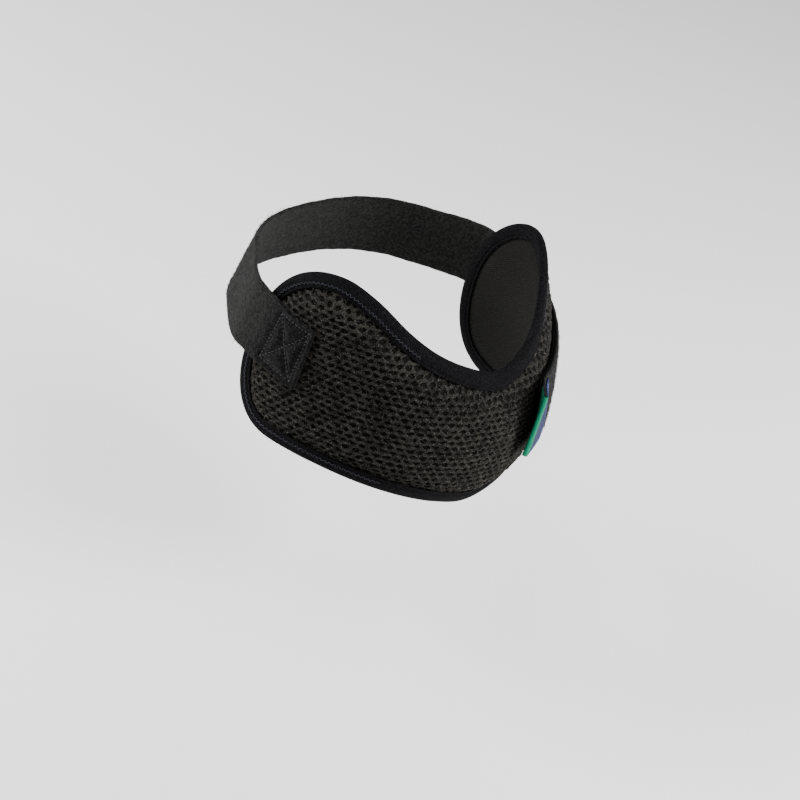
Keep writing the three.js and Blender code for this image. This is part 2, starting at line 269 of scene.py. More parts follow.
@dataclass(frozen=True)
class PadShape:
    """The pad's outline on the flat layout, and how its outer face swells inside its edge."""

    loop: Loop
    length: float = 0.215
    waist_height: float = 0.053
    waist_bottom: float = -0.0405
    top_arch: float = 0.0255
    bottom_arch: float = 0.010
    top_corner: float = 0.030
    bottom_corner: float = 0.025
    top_power: float = 2.0
    bottom_power: float = 2.4
    thickness: float = 0.006
    edge_inset: float = 0.0011
    edge_thickness: float = 0.0016
    shoulder_inset: float = 0.0058
    shoulder: float = 0.006
    straight_steps: int = 60
    corner_steps: int = 26
    edges: tuple[EdgeRow, ...] = (
        EdgeRow(along=0.00, top=0.00, bottom=0.00),
        EdgeRow(along=0.15, top=0.11, bottom=0.27),
        EdgeRow(along=0.30, top=0.29, bottom=0.58),
        EdgeRow(along=0.43, top=0.52, bottom=0.80),
        EdgeRow(along=0.57, top=0.82, bottom=0.96),
        EdgeRow(along=0.68, top=0.98, bottom=1.00),
        EdgeRow(along=0.75, top=1.00, bottom=1.00),
        EdgeRow(along=1.00, top=1.00, bottom=1.00),
    )

    @property
    def half_length(self) -> float:
        """Returns half of the pad's length."""
        return self.length / 2

    def risen(self, column: str, along: Array) -> Array:
        """Reads one column of the edge table with a smooth curve, level at both ends.

        Args:
            column: The column's name, top or bottom.
            along: Places on the flat layout.

        Returns:
            The share of the arch that the edge has risen at each place.
        """
        share = np.array([row.along for row in self.edges])
        value = np.array([getattr(row, column) for row in self.edges])
        slope = np.zeros_like(value)
        slope[1:-1] = (value[2:] - value[:-2]) / (share[2:] - share[:-2])
        at = self.loop.from_middle(along) / self.half_length
        after = np.clip(np.searchsorted(share, at), 1, len(share) - 1)
        before = after - 1
        span = share[after] - share[before]
        t = np.clip((at - share[before]) / span, 0.0, 1.0)
        left = value[before] * (1 + 2 * t) + slope[before] * span * t
        right = value[after] * (3 - 2 * t) + slope[after] * span * (t - 1)
        return left * (1 - t) ** 2 + right * t * t

    def top(self, along: Array) -> Array:
        """Returns the height of the pad's top edge before its corners are rounded."""
        return self.waist_bottom + self.waist_height + self.top_arch * self.risen("top", along)

    def bottom(self, along: Array) -> Array:
        """Returns the height of the pad's bottom edge before its corners are rounded."""
        return self.waist_bottom + self.bottom_arch * self.risen("bottom", along)

    def spine(self, along: Array) -> Array:
        """Returns the height midway between the top and bottom edges."""
        return (self.top(along) + self.bottom(along)) / 2

    def corner_share(self, along: Array, corner: float, power: float) -> Array:
        """Returns the share of the half height that a rounded corner leaves."""
        into = np.maximum(np.abs(along) - (self.half_length - corner), 0.0) / corner
        return np.maximum(1 - into**power, 0.0) ** (1 / power)

    def edges_at(self, along: Array) -> tuple[Array, Array]:
        """Works out the heights of the outline's upper and lower edges, with rounded corners.

        Args:
            along: Places along the flat layout.

        Returns:
            The upper edge's heights and the lower edge's.
        """
        spine = self.spine(along)
        top_share = self.corner_share(along, self.top_corner, self.top_power)
        bottom_share = self.corner_share(along, self.bottom_corner, self.bottom_power)
        upper = spine + (self.top(along) - spine) * top_share
        lower = spine + (self.bottom(along) - spine) * bottom_share
        return upper, lower

    def outline(self) -> Array:
        """Works out the pad's closed outline.

        Returns:
            One row (along, height) for each point, in order round the pad.
        """
        straight = self.half_length - self.top_corner
        angles = np.linspace(0.0, math.pi / 2, self.corner_steps + 1)
        run = np.linspace(0.0, straight, self.straight_steps, endpoint=False)
        half = np.concatenate([run, straight + self.top_corner * np.sin(angles)])
        upper, lower = self.edges_at(half)
        right = np.concatenate([np.stack([half, upper], 1), np.stack([half, lower], 1)[-2::-1]])
        left = right[1:-1][::-1] * np.array([-1.0, 1.0])
        return np.concatenate([right, left])

    def inset(self, outline: Array, distance: float) -> Array:
        """Moves an outline inwards, square to its edge.

        Args:
            outline: A closed outline, one row for each point.
            distance: How far each point moves.

        Returns:
            The moved outline, point for point.
        """
        run = np.roll(outline, -1, axis=0) - np.roll(outline, 1, axis=0)
        run /= np.linalg.norm(run, axis=1)[:, None]
        return outline + np.stack([run[:, 1], -run[:, 0]], axis=1) * distance

    def depth_inside(self, points: Array) -> Array:
        """Finds how far points lie inside the pad's outline.

        Args:
            points: Places on the flat layout, one row (along, height) each.

        Returns:
            The distance from the outline, less than 0 outside it.
        """
        outline = self.outline()
        ring = np.concatenate([outline, outline[:1]])
        reach = distance_to_runs(points, [ring])
        upper, lower = self.edges_at(points[:, 0])
        inside = (points[:, 1] < upper) & (points[:, 1] > lower)
        inside &= np.abs(points[:, 0]) < self.half_length
        return np.where(inside, reach, -reach)

    def outer_proud(self, depth: Array) -> Array:
        """Works out how far out the pad's outer face lies.

        Args:
            depth: Depths inside the outline.

        Returns:
            The face's distance from the loop's inner surface.
        """
        swell = np.sin(np.clip((depth - self.shoulder_inset) / self.shoulder, 0.0, 1.0) * math.pi / 2)
        pressed = self.edge_inset + self.edge_thickness
        return pressed + (self.thickness - pressed) * swell


@dataclass(frozen=True)
class StrapShape:
    """The strap's route on the flat layout: sewn on one lobe, round the back, over the other."""

    pad: PadShape
    width: float = 0.026
    thickness: float = 0.0016
    end_thickness: float = 0.0010
    thin_length: float = 0.022
    clearance: float = 0.0003
    sewn_length: float = 0.0285
    sewn_width: float = 0.0238
    sewn_rise: float = 0.0025
    step_down: float = 0.025
    back_rise: float = 0.005
    rise_length: float = 0.030
    free_end_from_middle: float = 0.013
    free_end_rise: float = 0.0068
    free_end_lift: float = 0.0032
    free_end_curl: float = 0.015
    free_end_upright: float = 0.8
    hook_length: float = 0.045
    hook_thickness: float = 0.0012
    hook_setback: float = 0.009
    hook_ramp: float = 0.012
    slope_sample: float = 0.0005

    @property
    def sewn_end(self) -> float:
        """Returns where the strap's sewn end lies along the layout."""
        return self.pad.half_length - self.sewn_length

    @property
    def free_end(self) -> float:
        """Returns where the strap's free end lies along the layout."""
        return self.pad.loop.girth - self.free_end_from_middle

    @property
    def hook_end(self) -> float:
        """Returns where the hook tape ends, near the free end."""
        return self.free_end - self.hook_setback

    @property
    def hook_start(self) -> float:
        """Returns where the hook tape starts."""
        return self.hook_end - self.hook_length

    def leaving(self, along: Array, start: float) -> Array:
        """Returns how far the free end has left the strap's run: 0 up to start, 1 at the free end."""
        return (np.maximum(along - start, 0.0) / (self.free_end - start)) ** 2

    def curled(self, along: Array) -> Array:
        """Returns how far the strap has curled up off the pad, from 0 to 1 at its free end."""
        return self.leaving(along, self.free_end - self.free_end_curl)

    def height(self, along: Array) -> Array:
        """Works out the height of the strap's middle line.

        Args:
            along: Places along the flat layout.

        Returns:
            The heights.
        """
        sewn = self.sewn_rise * (1 - smooth_rise(along - self.sewn_end, 0.0, self.rise_length))
        beyond = self.pad.loop.from_middle(along) - self.sewn_end
        climb = sewn + self.back_rise * smooth_rise(beyond, 0.0, self.rise_length)
        return self.pad.spine(along) + climb + self.free_end_rise * self.leaving(along, self.hook_start)

    def slope(self, along: Array) -> Array:
        """Works out the slope of the strap's middle line.

        Args:
            along: Places along the flat layout.

        Returns:
            The rise for each metre along.
        """
        ahead = self.height(along + self.slope_sample)
        behind = self.height(along - self.slope_sample)
        return (ahead - behind) / (2 * self.slope_sample)

    def lift(self, along: Array) -> Array:
        """Works out how far the strap stands off the loop's inner surface.

        Args:
            along: Places along the flat layout.

        Returns:
            The distance of the strap's inner face at its full thickness.
        """
        beyond = self.pad.loop.from_middle(along) - self.pad.half_length
        t = np.clip(beyond / self.step_down, 0.0, 1.0)
        over_pad = (self.pad.thickness + self.clearance) * (1 - t) ** 2 * (1 + t)
        ramp = smooth_rise(along, self.hook_start - self.hook_ramp, self.hook_start)
        curl = self.free_end_lift * self.curled(along)
        return over_pad + (self.hook_thickness + self.clearance) * ramp + curl

    def thick(self, along: Array) -> Array:
        """Returns the strap's thickness: the label presses its free end thin."""
        pressed = smooth_rise(along, self.free_end - self.thin_length, self.free_end)
        return self.thickness - (self.thickness - self.end_thickness) * pressed

    def inner(self, along: Array) -> Array:
        """Returns how far out the strap's inner face lies."""
        return self.lift(along) + (self.thickness - self.thick(along)) / 2

    def outer(self, along: Array) -> Array:
        """Returns how far out the strap's outer face lies."""
        return self.inner(along) + self.thick(along)

    def half_width(self, along: Array) -> Array:
        """Returns half of the strap's width: the seams draw its sewn end in a little."""
        grown = smooth_rise(along - self.sewn_end, 0.0, self.rise_length)
        return (self.sewn_width + (self.width - self.sewn_width) * grown) / 2

    def wrap(self, flat: Array) -> Array:
        """Takes places on the strap to their places on the loop.

        Args:
            flat: Places on the strap, one row (along, across, proud) each.

        Returns:
            The same places in space.
        """
        along, across, proud = flat.T
        slope = self.slope(along)
        length = np.hypot(1.0, slope)
        middle = self.height(along)
        place = along - across * slope / length
        height = middle + across / length
        turn = place / self.pad.loop.girth_radius
        lean = self.pad.loop.radius(turn, middle) - self.pad.loop.radius(turn, height)
        upright = self.free_end_upright * self.curled(along) * lean
        return self.pad.loop.wrap(np.stack([place, height, proud + upright], axis=1))


class Graph:
    """Adds nodes to a node tree and links them."""

    def __init__(self, tree: bpy.types.NodeTree) -> None:
        """Keeps the tree that the nodes go into."""
        self.tree = tree

    def add(self, kind: str, feeds: dict | None = None, **settings: object) -> bpy.types.Node:
        """Adds one node.

        Args:
            kind: The node's type.
            feeds: What goes into its inputs, by name or by number: a value, socket or node.
            **settings: The node's own properties.

        Returns:
            The node.
        """
        node = self.tree.nodes.new(kind)
        for name, value in settings.items():
            setattr(node, name, value)
        for key, value in (feeds or {}).items():
            self.feed(node, key, value)
        return node

    def feed(self, node: bpy.types.Node, key: str | int, value: object) -> None:
        """Sets or links one input of a node.

        Args:
            node: The node.
            key: The input's name or number.
            value: What goes in: a value, a socket or a node.
        """
        named = (socket for socket in node.inputs if socket.name == key and socket.enabled)
        socket = node.inputs[key] if isinstance(key, int) else next(named)
        if isinstance(value, bpy.types.Node):
            value = next(output for output in value.outputs if output.enabled)
        if isinstance(value, bpy.types.NodeSocket):
            self.tree.links.new(value, socket)
        else:
            socket.default_value = value

    def math(self, operation: str, *values: object) -> bpy.types.Node:
        """Adds one step of arithmetic."""
        return self.add("ShaderNodeMath", dict(enumerate(values)), operation=operation)

    def half(self, value: object) -> bpy.types.Node:
        """Adds a step that halves a value."""
        return self.math("MULTIPLY", value, 0.5)

    def vector(self, operation: str, *values: object) -> bpy.types.Node:
        """Adds one step of vector arithmetic."""
        return self.add("ShaderNodeVectorMath", dict(enumerate(values)), operation=operation)


class Repeat(Graph):
    """A Geometry Nodes tree that repeats a small shape, with named sizes and a fixed seed."""

    def __init__(self, name: str, seed: int = 7) -> None:
        """Starts the tree with its geometry, finish and seed inputs and its geometry output.

        Args:
            name: The tree's name.
            seed: The seed of its random draws.
        """
        super().__init__(bpy.data.node_groups.new(name, "GeometryNodeTree"))
        self.tree.interface.new_socket("Geometry", in_out="OUTPUT", socket_type="NodeSocketGeometry")
        self.entry = self.add("NodeGroupInput")
        self.exit = self.add("NodeGroupOutput")
        self.geometry = self.socket("Geometry", "NodeSocketGeometry")
        self.finish = self.socket("Finish", "NodeSocketMaterial")
        self.seed = self.socket("Seed", "NodeSocketInt", seed)

    def socket(self, name: str, kind: str, value: object = None) -> bpy.types.NodeSocket:
        """Adds one named input to the tree.

        Args:
            name: The input's name.
            kind: The type of its socket.
            value: What it holds unless a modifier sets it.

        Returns:
            The socket that carries it inside the tree.
        """
        item = self.tree.interface.new_socket(name, in_out="INPUT", socket_type=kind)
        if value is not None:
            item.default_value = value
        return self.entry.outputs[name]

    def size(self, name: str) -> bpy.types.NodeSocket:
        """Adds one named size to the tree."""
        return self.socket(name, "NodeSocketFloat")

    def random(self, low: object, high: object, draw: int = 0) -> bpy.types.Node:
        """Adds an even random draw for each copy; draws of different numbers differ."""
        feeds = {"Min": low, "Max": high, "Seed": self.math("ADD", self.seed, float(draw))}
        return self.add("FunctionNodeRandomValue", feeds, data_type="FLOAT")

    def ring(self, across: object, up: object, sides: int) -> bpy.types.Node:
        """Adds a closed oval curve.

        Args:
            across: Half of its width.
            up: Half of its height.
            sides: How many straight sides it has.

        Returns:
            The node that gives the curve.
        """
        circle = self.add("GeometryNodeCurvePrimitiveCircle", {"Resolution": sides, "Radius": 1.0})
        scale = self.add("ShaderNodeCombineXYZ", {"X": across, "Y": up, "Z": 1.0})
        return self.add("GeometryNodeTransform", {"Geometry": circle, "Scale": scale})

    def end(self, instances: bpy.types.Node) -> None:
        """Ends the tree: the copies are made real, given their finish and sent out.

        Args:
            instances: The node that gives the copies.
        """
        real = self.add("GeometryNodeRealizeInstances", {"Geometry": instances})
        dressed = self.add("GeometryNodeSetMaterial", {"Geometry": real, "Material": self.finish})
        self.feed(self.exit, "Geometry", dressed)

    def run(
        self, flat: bpy.types.Mesh, finish: bpy.types.Material, sizes: dict[str, float]
    ) -> bpy.types.Mesh:
        """Runs the tree on a flat mesh.

        Args:
            flat: The points, lines or faces that the copies follow.
            finish: The copies' finish.
            sizes: Values for the tree's named inputs.

        Returns:
            A plain mesh of all the copies.
        """
        carrier = bpy.data.objects.new(flat.name, flat)
        bpy.context.scene.collection.objects.link(carrier)
        modifier = carrier.modifiers.new(self.tree.name, "NODES")
        modifier.node_group = self.tree
        values = {"Finish": finish, **sizes}
        for item in self.tree.interface.items_tree:
            if item.in_out == "INPUT" and item.name in values:
                modifier[item.identifier] = values[item.name]
        graph = bpy.context.evaluated_depsgraph_get()
        made = bpy.data.meshes.new_from_object(carrier.evaluated_get(graph), depsgraph=graph)
        carrier.modifiers.remove(modifier)
        bpy.data.objects.remove(carrier)
        made.materials.clear()
        made.materials.append(finish)
        made.polygons.foreach_set("material_index", np.zeros(len(made.polygons), np.int32))
        return made


def knit_tree(sides: int = 10, yarn_sides: int = 5) -> Repeat:
    """Builds the tree that lays one oval loop of yarn on each point of a flat lattice.

    Args:
        sides: Sides of each loop.
        yarn_sides: Sides of the yarn.

    Returns:
        The tree.
    """
    tree = Repeat("knit_loops")
    length, height = tree.size("Loop Length"), tree.size("Loop Height")
    width, thickness = tree.size("Yarn Width"), tree.size("Yarn Thickness")
    dip, turn, spread = tree.size("End Dip"), tree.size("Turn"), tree.size("Spread")
    half_length = tree.half(length)
    oval = tree.ring(half_length, tree.half(height), sides)
    place = tree.add("ShaderNodeSeparateXYZ", {"Vector": tree.add("GeometryNodeInputPosition")})
    reach = tree.math("POWER", tree.math("DIVIDE", place.outputs["X"], half_length), 2.0)
    down = tree.math("MULTIPLY", reach, tree.math("MULTIPLY", dip, -1.0))
    sunk = tree.add("ShaderNodeCombineXYZ", {"Z": down})
    waved = tree.add("GeometryNodeSetPosition", {"Geometry": oval, "Offset": sunk})
    section = tree.ring(tree.half(thickness), tree.half(width), yarn_sides)
    yarn = tree.add("GeometryNodeCurveToMesh", {"Curve": waved, "Profile Curve": section})
    smooth = tree.add("GeometryNodeSetShadeSmooth", {"Geometry": yarn, "Shade Smooth": True})
    angle = tree.random(tree.math("MULTIPLY", turn, -1.0), turn)
    turned = tree.add("ShaderNodeCombineXYZ", {"Z": angle})
    grown = tree.random(tree.math("SUBTRACT", 1.0, spread), tree.math("ADD", 1.0, spread), draw=2)
    feeds = {"Points": tree.geometry, "Instance": smooth, "Rotation": turned, "Scale": grown}
    loops = tree.add("GeometryNodeInstanceOnPoints", feeds)
    feeds = {"Geometry": loops, "Name": "shade", "Value": tree.random(0.0, 1.0, draw=1)}
    tree.end(tree.add("GeometryNodeStoreNamedAttribute", feeds, data_type="FLOAT", domain="INSTANCE"))
    return tree


def stitch_tree(sides: int = 6, rings: int = 4, least: float = 0.6, most: float = 1.4) -> Repeat:
    """Builds the tree that sets stitches along flat lines, evenly spaced and slanted.

    Args:
        sides: Sides of each stitch.
        rings: Rings of each stitch.
        least: The smallest share of the slant that a stitch has.
        most: The largest share.

    Returns:
        The tree.
    """
    tree = Repeat("stitches")
    spacing, length, thread = tree.size("Spacing"), tree.size("Stitch Length"), tree.size("Thread")
    slant, alternate = tree.size("Slant"), tree.size("Alternate")
    line = tree.add("GeometryNodeMeshToCurve", {"Mesh": tree.geometry})
    stepped = tree.add("GeometryNodeResampleCurve", {"Curve": line, "Length": spacing}, mode="LENGTH")
    feeds = {"Segments": sides, "Rings": rings, "Radius": 0.5}
    ball = tree.add("GeometryNodeMeshUVSphere", feeds)
    scale = tree.add("ShaderNodeCombineXYZ", {"X": thread, "Y": thread, "Z": length})
    quarter = (0.0, math.pi / 2, 0.0)
    long = tree.add("GeometryNodeTransform", {"Geometry": ball.outputs["Mesh"], "Scale": scale})
    lying = tree.add("GeometryNodeTransform", {"Geometry": long, "Rotation": quarter})
    smooth = tree.add("GeometryNodeSetShadeSmooth", {"Geometry": lying, "Shade Smooth": True})
    feeds = {"Vector": tree.add("GeometryNodeInputTangent")}
    facing = tree.add("FunctionNodeAlignRotationToVector", feeds, axis="X")
    odd = tree.math("MODULO", tree.add("GeometryNodeInputIndex"), 2.0)
    factor = tree.math("ADD", 1.0, tree.math("MULTIPLY", odd, tree.math("SUBTRACT", alternate, 1.0)))
    spread = tree.random(least, most)
    angle = tree.math("MULTIPLY", tree.math("MULTIPLY", slant, factor), spread)
    turned = tree.add("ShaderNodeCombineXYZ", {"Z": angle})
    feeds = {"Rotation": facing, "Rotate By": turned}
    rotation = tree.add("FunctionNodeRotateRotation", feeds, rotation_space="LOCAL")
    feeds = {"Points": stepped, "Instance": smooth, "Rotation": rotation}
    tree.end(tree.add("GeometryNodeInstanceOnPoints", feeds))
    return tree


def hook_tree(sides: int = 5, head_share: float = 1.8) -> Repeat:
    """Builds the tree that sets small headed hooks on the points of a flat lattice.

    Args:
        sides: Sides of each hook.
        head_share: How many times wider than its stem each head is.

    Returns:
        The tree.
    """
    tree = Repeat("hooks")
    height, stem = tree.size("Hook Height"), tree.size("Stem")
    rise = tree.add("ShaderNodeCombineXYZ", {"Z": tree.half(height)})
    feeds = {"Vertices": sides, "Radius": stem, "Depth": height}
    post = tree.add("GeometryNodeMeshCylinder", feeds).outputs["Mesh"]
    upright = tree.add("GeometryNodeTransform", {"Geometry": post, "Translation": rise})
    top = tree.add("ShaderNodeCombineXYZ", {"Z": height})
    flare = tree.math("MULTIPLY", stem, head_share)
    feeds = {"Vertices": sides, "Radius Bottom": flare, "Depth": stem}
    head = tree.add("GeometryNodeMeshCone", feeds).outputs["Mesh"]
    capped = tree.add("GeometryNodeTransform", {"Geometry": head, "Translation": top})
    both = tree.add("GeometryNodeJoinGeometry")
    tree.feed(both, "Geometry", capped)
    tree.feed(both, "Geometry", upright)
    feeds = {"Points": tree.geometry, "Instance": both}
    tree.end(tree.add("GeometryNodeInstanceOnPoints", feeds))
    return tree


def nap_tree(
    sides: int = 3,
    bends: int = 3,
    shortest: float = 0.5,
    longest: float = 1.4,
    bend_share: float = 0.3,
    tip_share: float = 0.8,
) -> Repeat:
    """Builds the tree that scatters short bent fibres over flat faces.

    Args:
        sides: Sides of each fibre.
        bends: Straight parts of each fibre.
        shortest: The shortest fibre's share of the named length.
        longest: The longest fibre's share.
        bend_share: The share of its length at which a fibre bends over.
        tip_share: The share of its height at which its tip lies.

    Returns:
        The tree.
    """
    tree = Repeat("nap")
    density, length = tree.size("Density"), tree.size("Fibre Length")
    height, radius = tree.size("Fibre Height"), tree.size("Fibre Radius")
    bend_at = tree.math("MULTIPLY", length, bend_share)
    middle = tree.add("ShaderNodeCombineXYZ", {"X": bend_at, "Z": height})
    tip_height = tree.math("MULTIPLY", height, tip_share)
    tip = tree.add("ShaderNodeCombineXYZ", {"X": length, "Z": tip_height})
    feeds = {"Resolution": bends, "Start": (0.0, 0.0, 0.0), "Middle": middle, "End": tip}
    line = tree.add("GeometryNodeCurveQuadraticBezier", feeds)
    section = tree.ring(radius, radius, sides)
    feeds = {"Curve": line, "Profile Curve": section, "Fill Caps": True}
    fibre = tree.add("GeometryNodeCurveToMesh", feeds)
    feeds = {"Mesh": tree.geometry, "Density": density, "Seed": tree.seed}
    points = tree.add("GeometryNodeDistributePointsOnFaces", feeds)
    turned = tree.add("ShaderNodeCombineXYZ", {"Z": tree.random(-math.pi, math.pi)})
    grown = tree.random(shortest, longest, draw=1)
    feeds = {"Points": points, "Instance": fibre, "Rotation": turned, "Scale": grown}
    tree.end(tree.add("GeometryNodeInstanceOnPoints", feeds))
    return tree


class ClothShader(Graph):
    """Builds one procedural cloth finish."""

    sheen_roughness: float = 0.5

    def __init__(self, name: str, roughness: float, sheen: float, specular: float) -> None:
        """Starts the finish with the values that are the same all over it.

        Args:
            name: The finish's name.
            roughness: How matt it is.
            sheen: How much its fibres catch light at a slant.
            specular: How much it shines.
        """
        self.material = bpy.data.materials.new(name)
        self.material.use_nodes = True
        super().__init__(self.material.node_tree)
        self.surface = self.tree.nodes["Principled BSDF"]
        self.surface.inputs["Roughness"].default_value = roughness
        self.surface.inputs["Sheen Weight"].default_value = sheen
        self.surface.inputs["Sheen Roughness"].default_value = self.sheen_roughness
        self.surface.inputs["Specular IOR Level"].default_value = specular

    def place(self) -> bpy.types.NodeSocket:
        """Returns places in space, in metres."""
        return self.add("ShaderNodeTexCoord").outputs["Object"]

    def cloth(self) -> bpy.types.NodeSocket:
        """Returns places on the flat cloth, in metres."""
        return self.add("ShaderNodeUVMap", uv_map="cloth").outputs["UV"]

    def noise(self, vector: object, size: float, detail: float = 3.0) -> bpy.types.NodeSocket:
        """Returns soft noise whose blotches are about the given size."""
        feeds = {"Vector": vector, "Scale": 1.0 / size, "Detail": detail}
        return self.add("ShaderNodeTexNoise", feeds).outputs[0]

    def stretched(self, vector: object, along: float, across: float) -> bpy.types.Node:
        """Returns places scaled so that one unit is the given length along and across."""
        return self.vector("MULTIPLY", vector, (1.0 / along, 1.0 / across, 1.0))

    def between(self, value: object, span: Span) -> bpy.types.NodeSocket:
        """Adds a smooth rise from 0 below a span to 1 above it.

        Args:
            value: What is measured.
            span: Where the rise starts and ends.

        Returns:
            The socket that gives the rise.
        """
        low, high = span
        feeds = {"Value": value, "From Min": low, "From Max": high}
        return self.add("ShaderNodeMapRange", feeds, interpolation_type="SMOOTHSTEP").outputs[0]

    def mix(self, share: object, first: object, second: object) -> bpy.types.NodeSocket:
        """Adds a mix of two colours.

        Args:
            share: How much of the second colour there is.
            first: The colour at 0.
            second: The colour at 1.

        Returns:
            The socket that gives the mixed colour.
        """
        paints = [(*paint, 1.0) if isinstance(paint, tuple) else paint for paint in (first, second)]
        node = self.add("ShaderNodeMix", {"Factor": share}, data_type="RGBA")
        for key, paint in zip("AB", paints):
            self.feed(node, key, paint)
        return next(output for output in node.outputs if output.enabled)

    def weave(self, vector: object, warp: float, weft: float) -> tuple[bpy.types.Node, bpy.types.Node]:
        """Adds the two waves of a plain weave.

        Args:
            vector: Places on the cloth.
            warp: The distance between threads along the cloth.
            weft: The distance between threads across it.

        Returns:
            The wave along the cloth and the wave across it.
        """
        split = self.add("ShaderNodeSeparateXYZ", {"Vector": vector})
        columns = self.math("MULTIPLY", split.outputs["X"], math.pi / warp)
        rows = self.math("MULTIPLY", split.outputs["Y"], math.pi / weft)
        return self.math("SINE", columns), self.math("SINE", rows)

    def close(
        self, colour: object, relief: object, depth: float, strength: float = 1.0
    ) -> bpy.types.Material:
        """Links the colour and the relief and ends the finish.

        Args:
            colour: The socket that gives the colour.
            relief: The socket that gives the relief's height, from 0 to 1.
            depth: How high the relief is, in metres.
            strength: The share of the relief that shows.

        Returns:
            The finished material.
        """
        self.feed(self.surface, "Base Color", colour)
        feeds = {"Height": relief, "Distance": depth, "Strength": strength}
        self.feed(self.surface, "Normal", self.add("ShaderNodeBump", feeds))
        return self.material


@dataclass(frozen=True)
class KnitYarn:
    """Fluffy spun yarn: warm grey-black, each loop a little different, with pale flecks of fibre."""

    dark: Colour = (0.0026, 0.0024, 0.0018)
    light: Colour = (0.021, 0.020, 0.0168)
    fleck: Colour = (0.11, 0.106, 0.093)
    fibre: float = 0.00042
    strand_length: float = 0.0012
    strand_width: float = 0.0003
    blotch: float = 0.012
    shade_share: float = 0.25
    blotch_share: float = 0.3
    light_span: Span = (0.6, 1.0)
    speck: float = 0.000336
    fleck_span: Span = (0.62, 0.72)
    relief: float = 0.0003

    def make(self) -> bpy.types.Material:
        """Builds the finish.

        Returns:
            The material.
        """
        shader = ClothShader("knit_yarn", roughness=0.95, sheen=0.03, specular=0.1)
        place = shader.place()
        drawn = shader.stretched(shader.cloth(), self.strand_length, self.strand_width)
        strands = shader.noise(drawn, 1.0, detail=2.0)
        fibres = shader.half(shader.math("ADD", shader.noise(place, self.fibre, detail=2.0), strands))
        shade = shader.add("ShaderNodeAttribute", attribute_name="shade").outputs["Fac"]
        tone = shader.math("ADD", fibres, shader.math("MULTIPLY", shade, self.shade_share))
        patches = shader.math("MULTIPLY", shader.noise(place, self.blotch), self.blotch_share)
        tone = shader.math("ADD", tone, patches)
        base = shader.mix(shader.between(tone, self.light_span), self.dark, self.light)
        specks = shader.noise(place, self.speck, detail=1.0)
        flecks = shader.between(specks, self.fleck_span)
        return shader.close(shader.mix(flecks, base, self.fleck), fibres, self.relief)


@dataclass(frozen=True)
class PadCore:
    """The dark spacer cloth at the bottom of the mesh's holes, painted near black as painted shade in
    the holes, and the pad's plain lining.
    """

    # The deep colour is painted shade: the near-black inside the mesh's holes. It also gives the
    # lining's dark specks.
    deep: Colour = (0.0065, 0.0062, 0.0055)
    lining: Colour = (0.012, 0.012, 0.0115)
    wale: float = 0.0007
    course: float = 0.00049
    speck: float = 0.0004
    speck_span: Span = (0.35, 0.7)
    relief: float = 0.00012

    def make(self) -> bpy.types.Material:
        """Builds the finish.

        Returns:
            The material.
        """
        shader = ClothShader("pad_core", roughness=0.95, sheen=0.0, specular=0.05)
        cloth = shader.cloth()
        wales, courses = shader.weave(cloth, self.wale, self.course)
        ribs = shader.math("MULTIPLY", wales, courses)
        inner = shader.add("ShaderNodeAttribute", attribute_name="lining").outputs["Fac"]
        specks = shader.between(shader.noise(shader.place(), self.speck), self.speck_span)
        lining = shader.mix(specks, self.deep, self.lining)
        # Away from the lining, the core's outer face takes the painted shade of the holes.
        return shader.close(shader.mix(inner, self.deep, lining), ribs, self.relief)


@dataclass(frozen=True)
class BindingTape:
    """Close elastic tape: blue-black, fine ribs square to the edge and a peppering of fibre."""

    dark: Colour = (0.0007, 0.0007, 0.0008)
    light: Colour = (0.0085, 0.0082, 0.0098)
    rib: float = 0.0008
    cross_rib: float = 0.00048
    pepper: float = 0.00045
    pepper_span: Span = (0.42, 0.68)
    relief: float = 0.0001
    relief_strength: float = 0.8

    def make(self) -> bpy.types.Material:
        """Builds the finish.

        Returns:
            The material.
        """
        shader = ClothShader("binding_tape", roughness=0.9, sheen=0.0, specular=0.06)
        ribs, cross = shader.weave(shader.cloth(), self.rib, self.cross_rib)
        pepper = shader.noise(shader.place(), self.pepper, detail=2.0)
        rise = shader.math("ADD", shader.math("MULTIPLY", ribs, cross), pepper)
        colour = shader.mix(shader.between(pepper, self.pepper_span), self.dark, self.light)
        return shader.close(colour, rise, self.relief, self.relief_strength)


@dataclass(frozen=True)
class BrushedLoop:
    """Brushed loop cloth: short tangled pile, dark grey, mottled like felt, with painted shade
    darkening its sewn end.
    """

    dark: Colour = (0.0055, 0.0055, 0.0053)
    light: Colour = (0.0165, 0.0168, 0.0161)
    # The sewn colours are painted shade over the strap's sewn end.
    sewn: Colour = (0.0016, 0.0016, 0.0017)
    sewn_shade_light: Colour = (0.0085, 0.0085, 0.0088)
    sewn_shade_span: Span = (0.092, 0.104)
    pile: float = 0.0008
    clump: float = 0.0015
    clump_share: float = 0.4
    light_span: Span = (0.56, 0.84)
    relief: float = 0.0004
    relief_strength: float = 0.9

    def make(self) -> bpy.types.Material:
        """Builds the finish.

        Returns:
            The material.
        """
        shader = ClothShader("brushed_loop", roughness=1.0, sheen=0.045, specular=0.03)
        place = shader.place()
        pile = shader.noise(place, self.pile, detail=5.0)
        clumps = shader.math("MULTIPLY", shader.noise(place, self.clump), self.clump_share)
        tone = shader.math("ADD", pile, clumps)
        share = shader.between(tone, self.light_span)
        along = shader.add("ShaderNodeSeparateXYZ", {"Vector": shader.cloth()}).outputs["X"]
        # The share is 0 over the sewn end, where the painted shade lies.
        free = shader.between(along, self.sewn_shade_span)
        # The sewn end's painted shade, in a dark and a light tone.
        pressed = shader.mix(share, self.sewn, self.sewn_shade_light)
        colour = shader.mix(free, pressed, shader.mix(share, self.dark, self.light))
        return shader.close(colour, tone, self.relief, self.relief_strength)


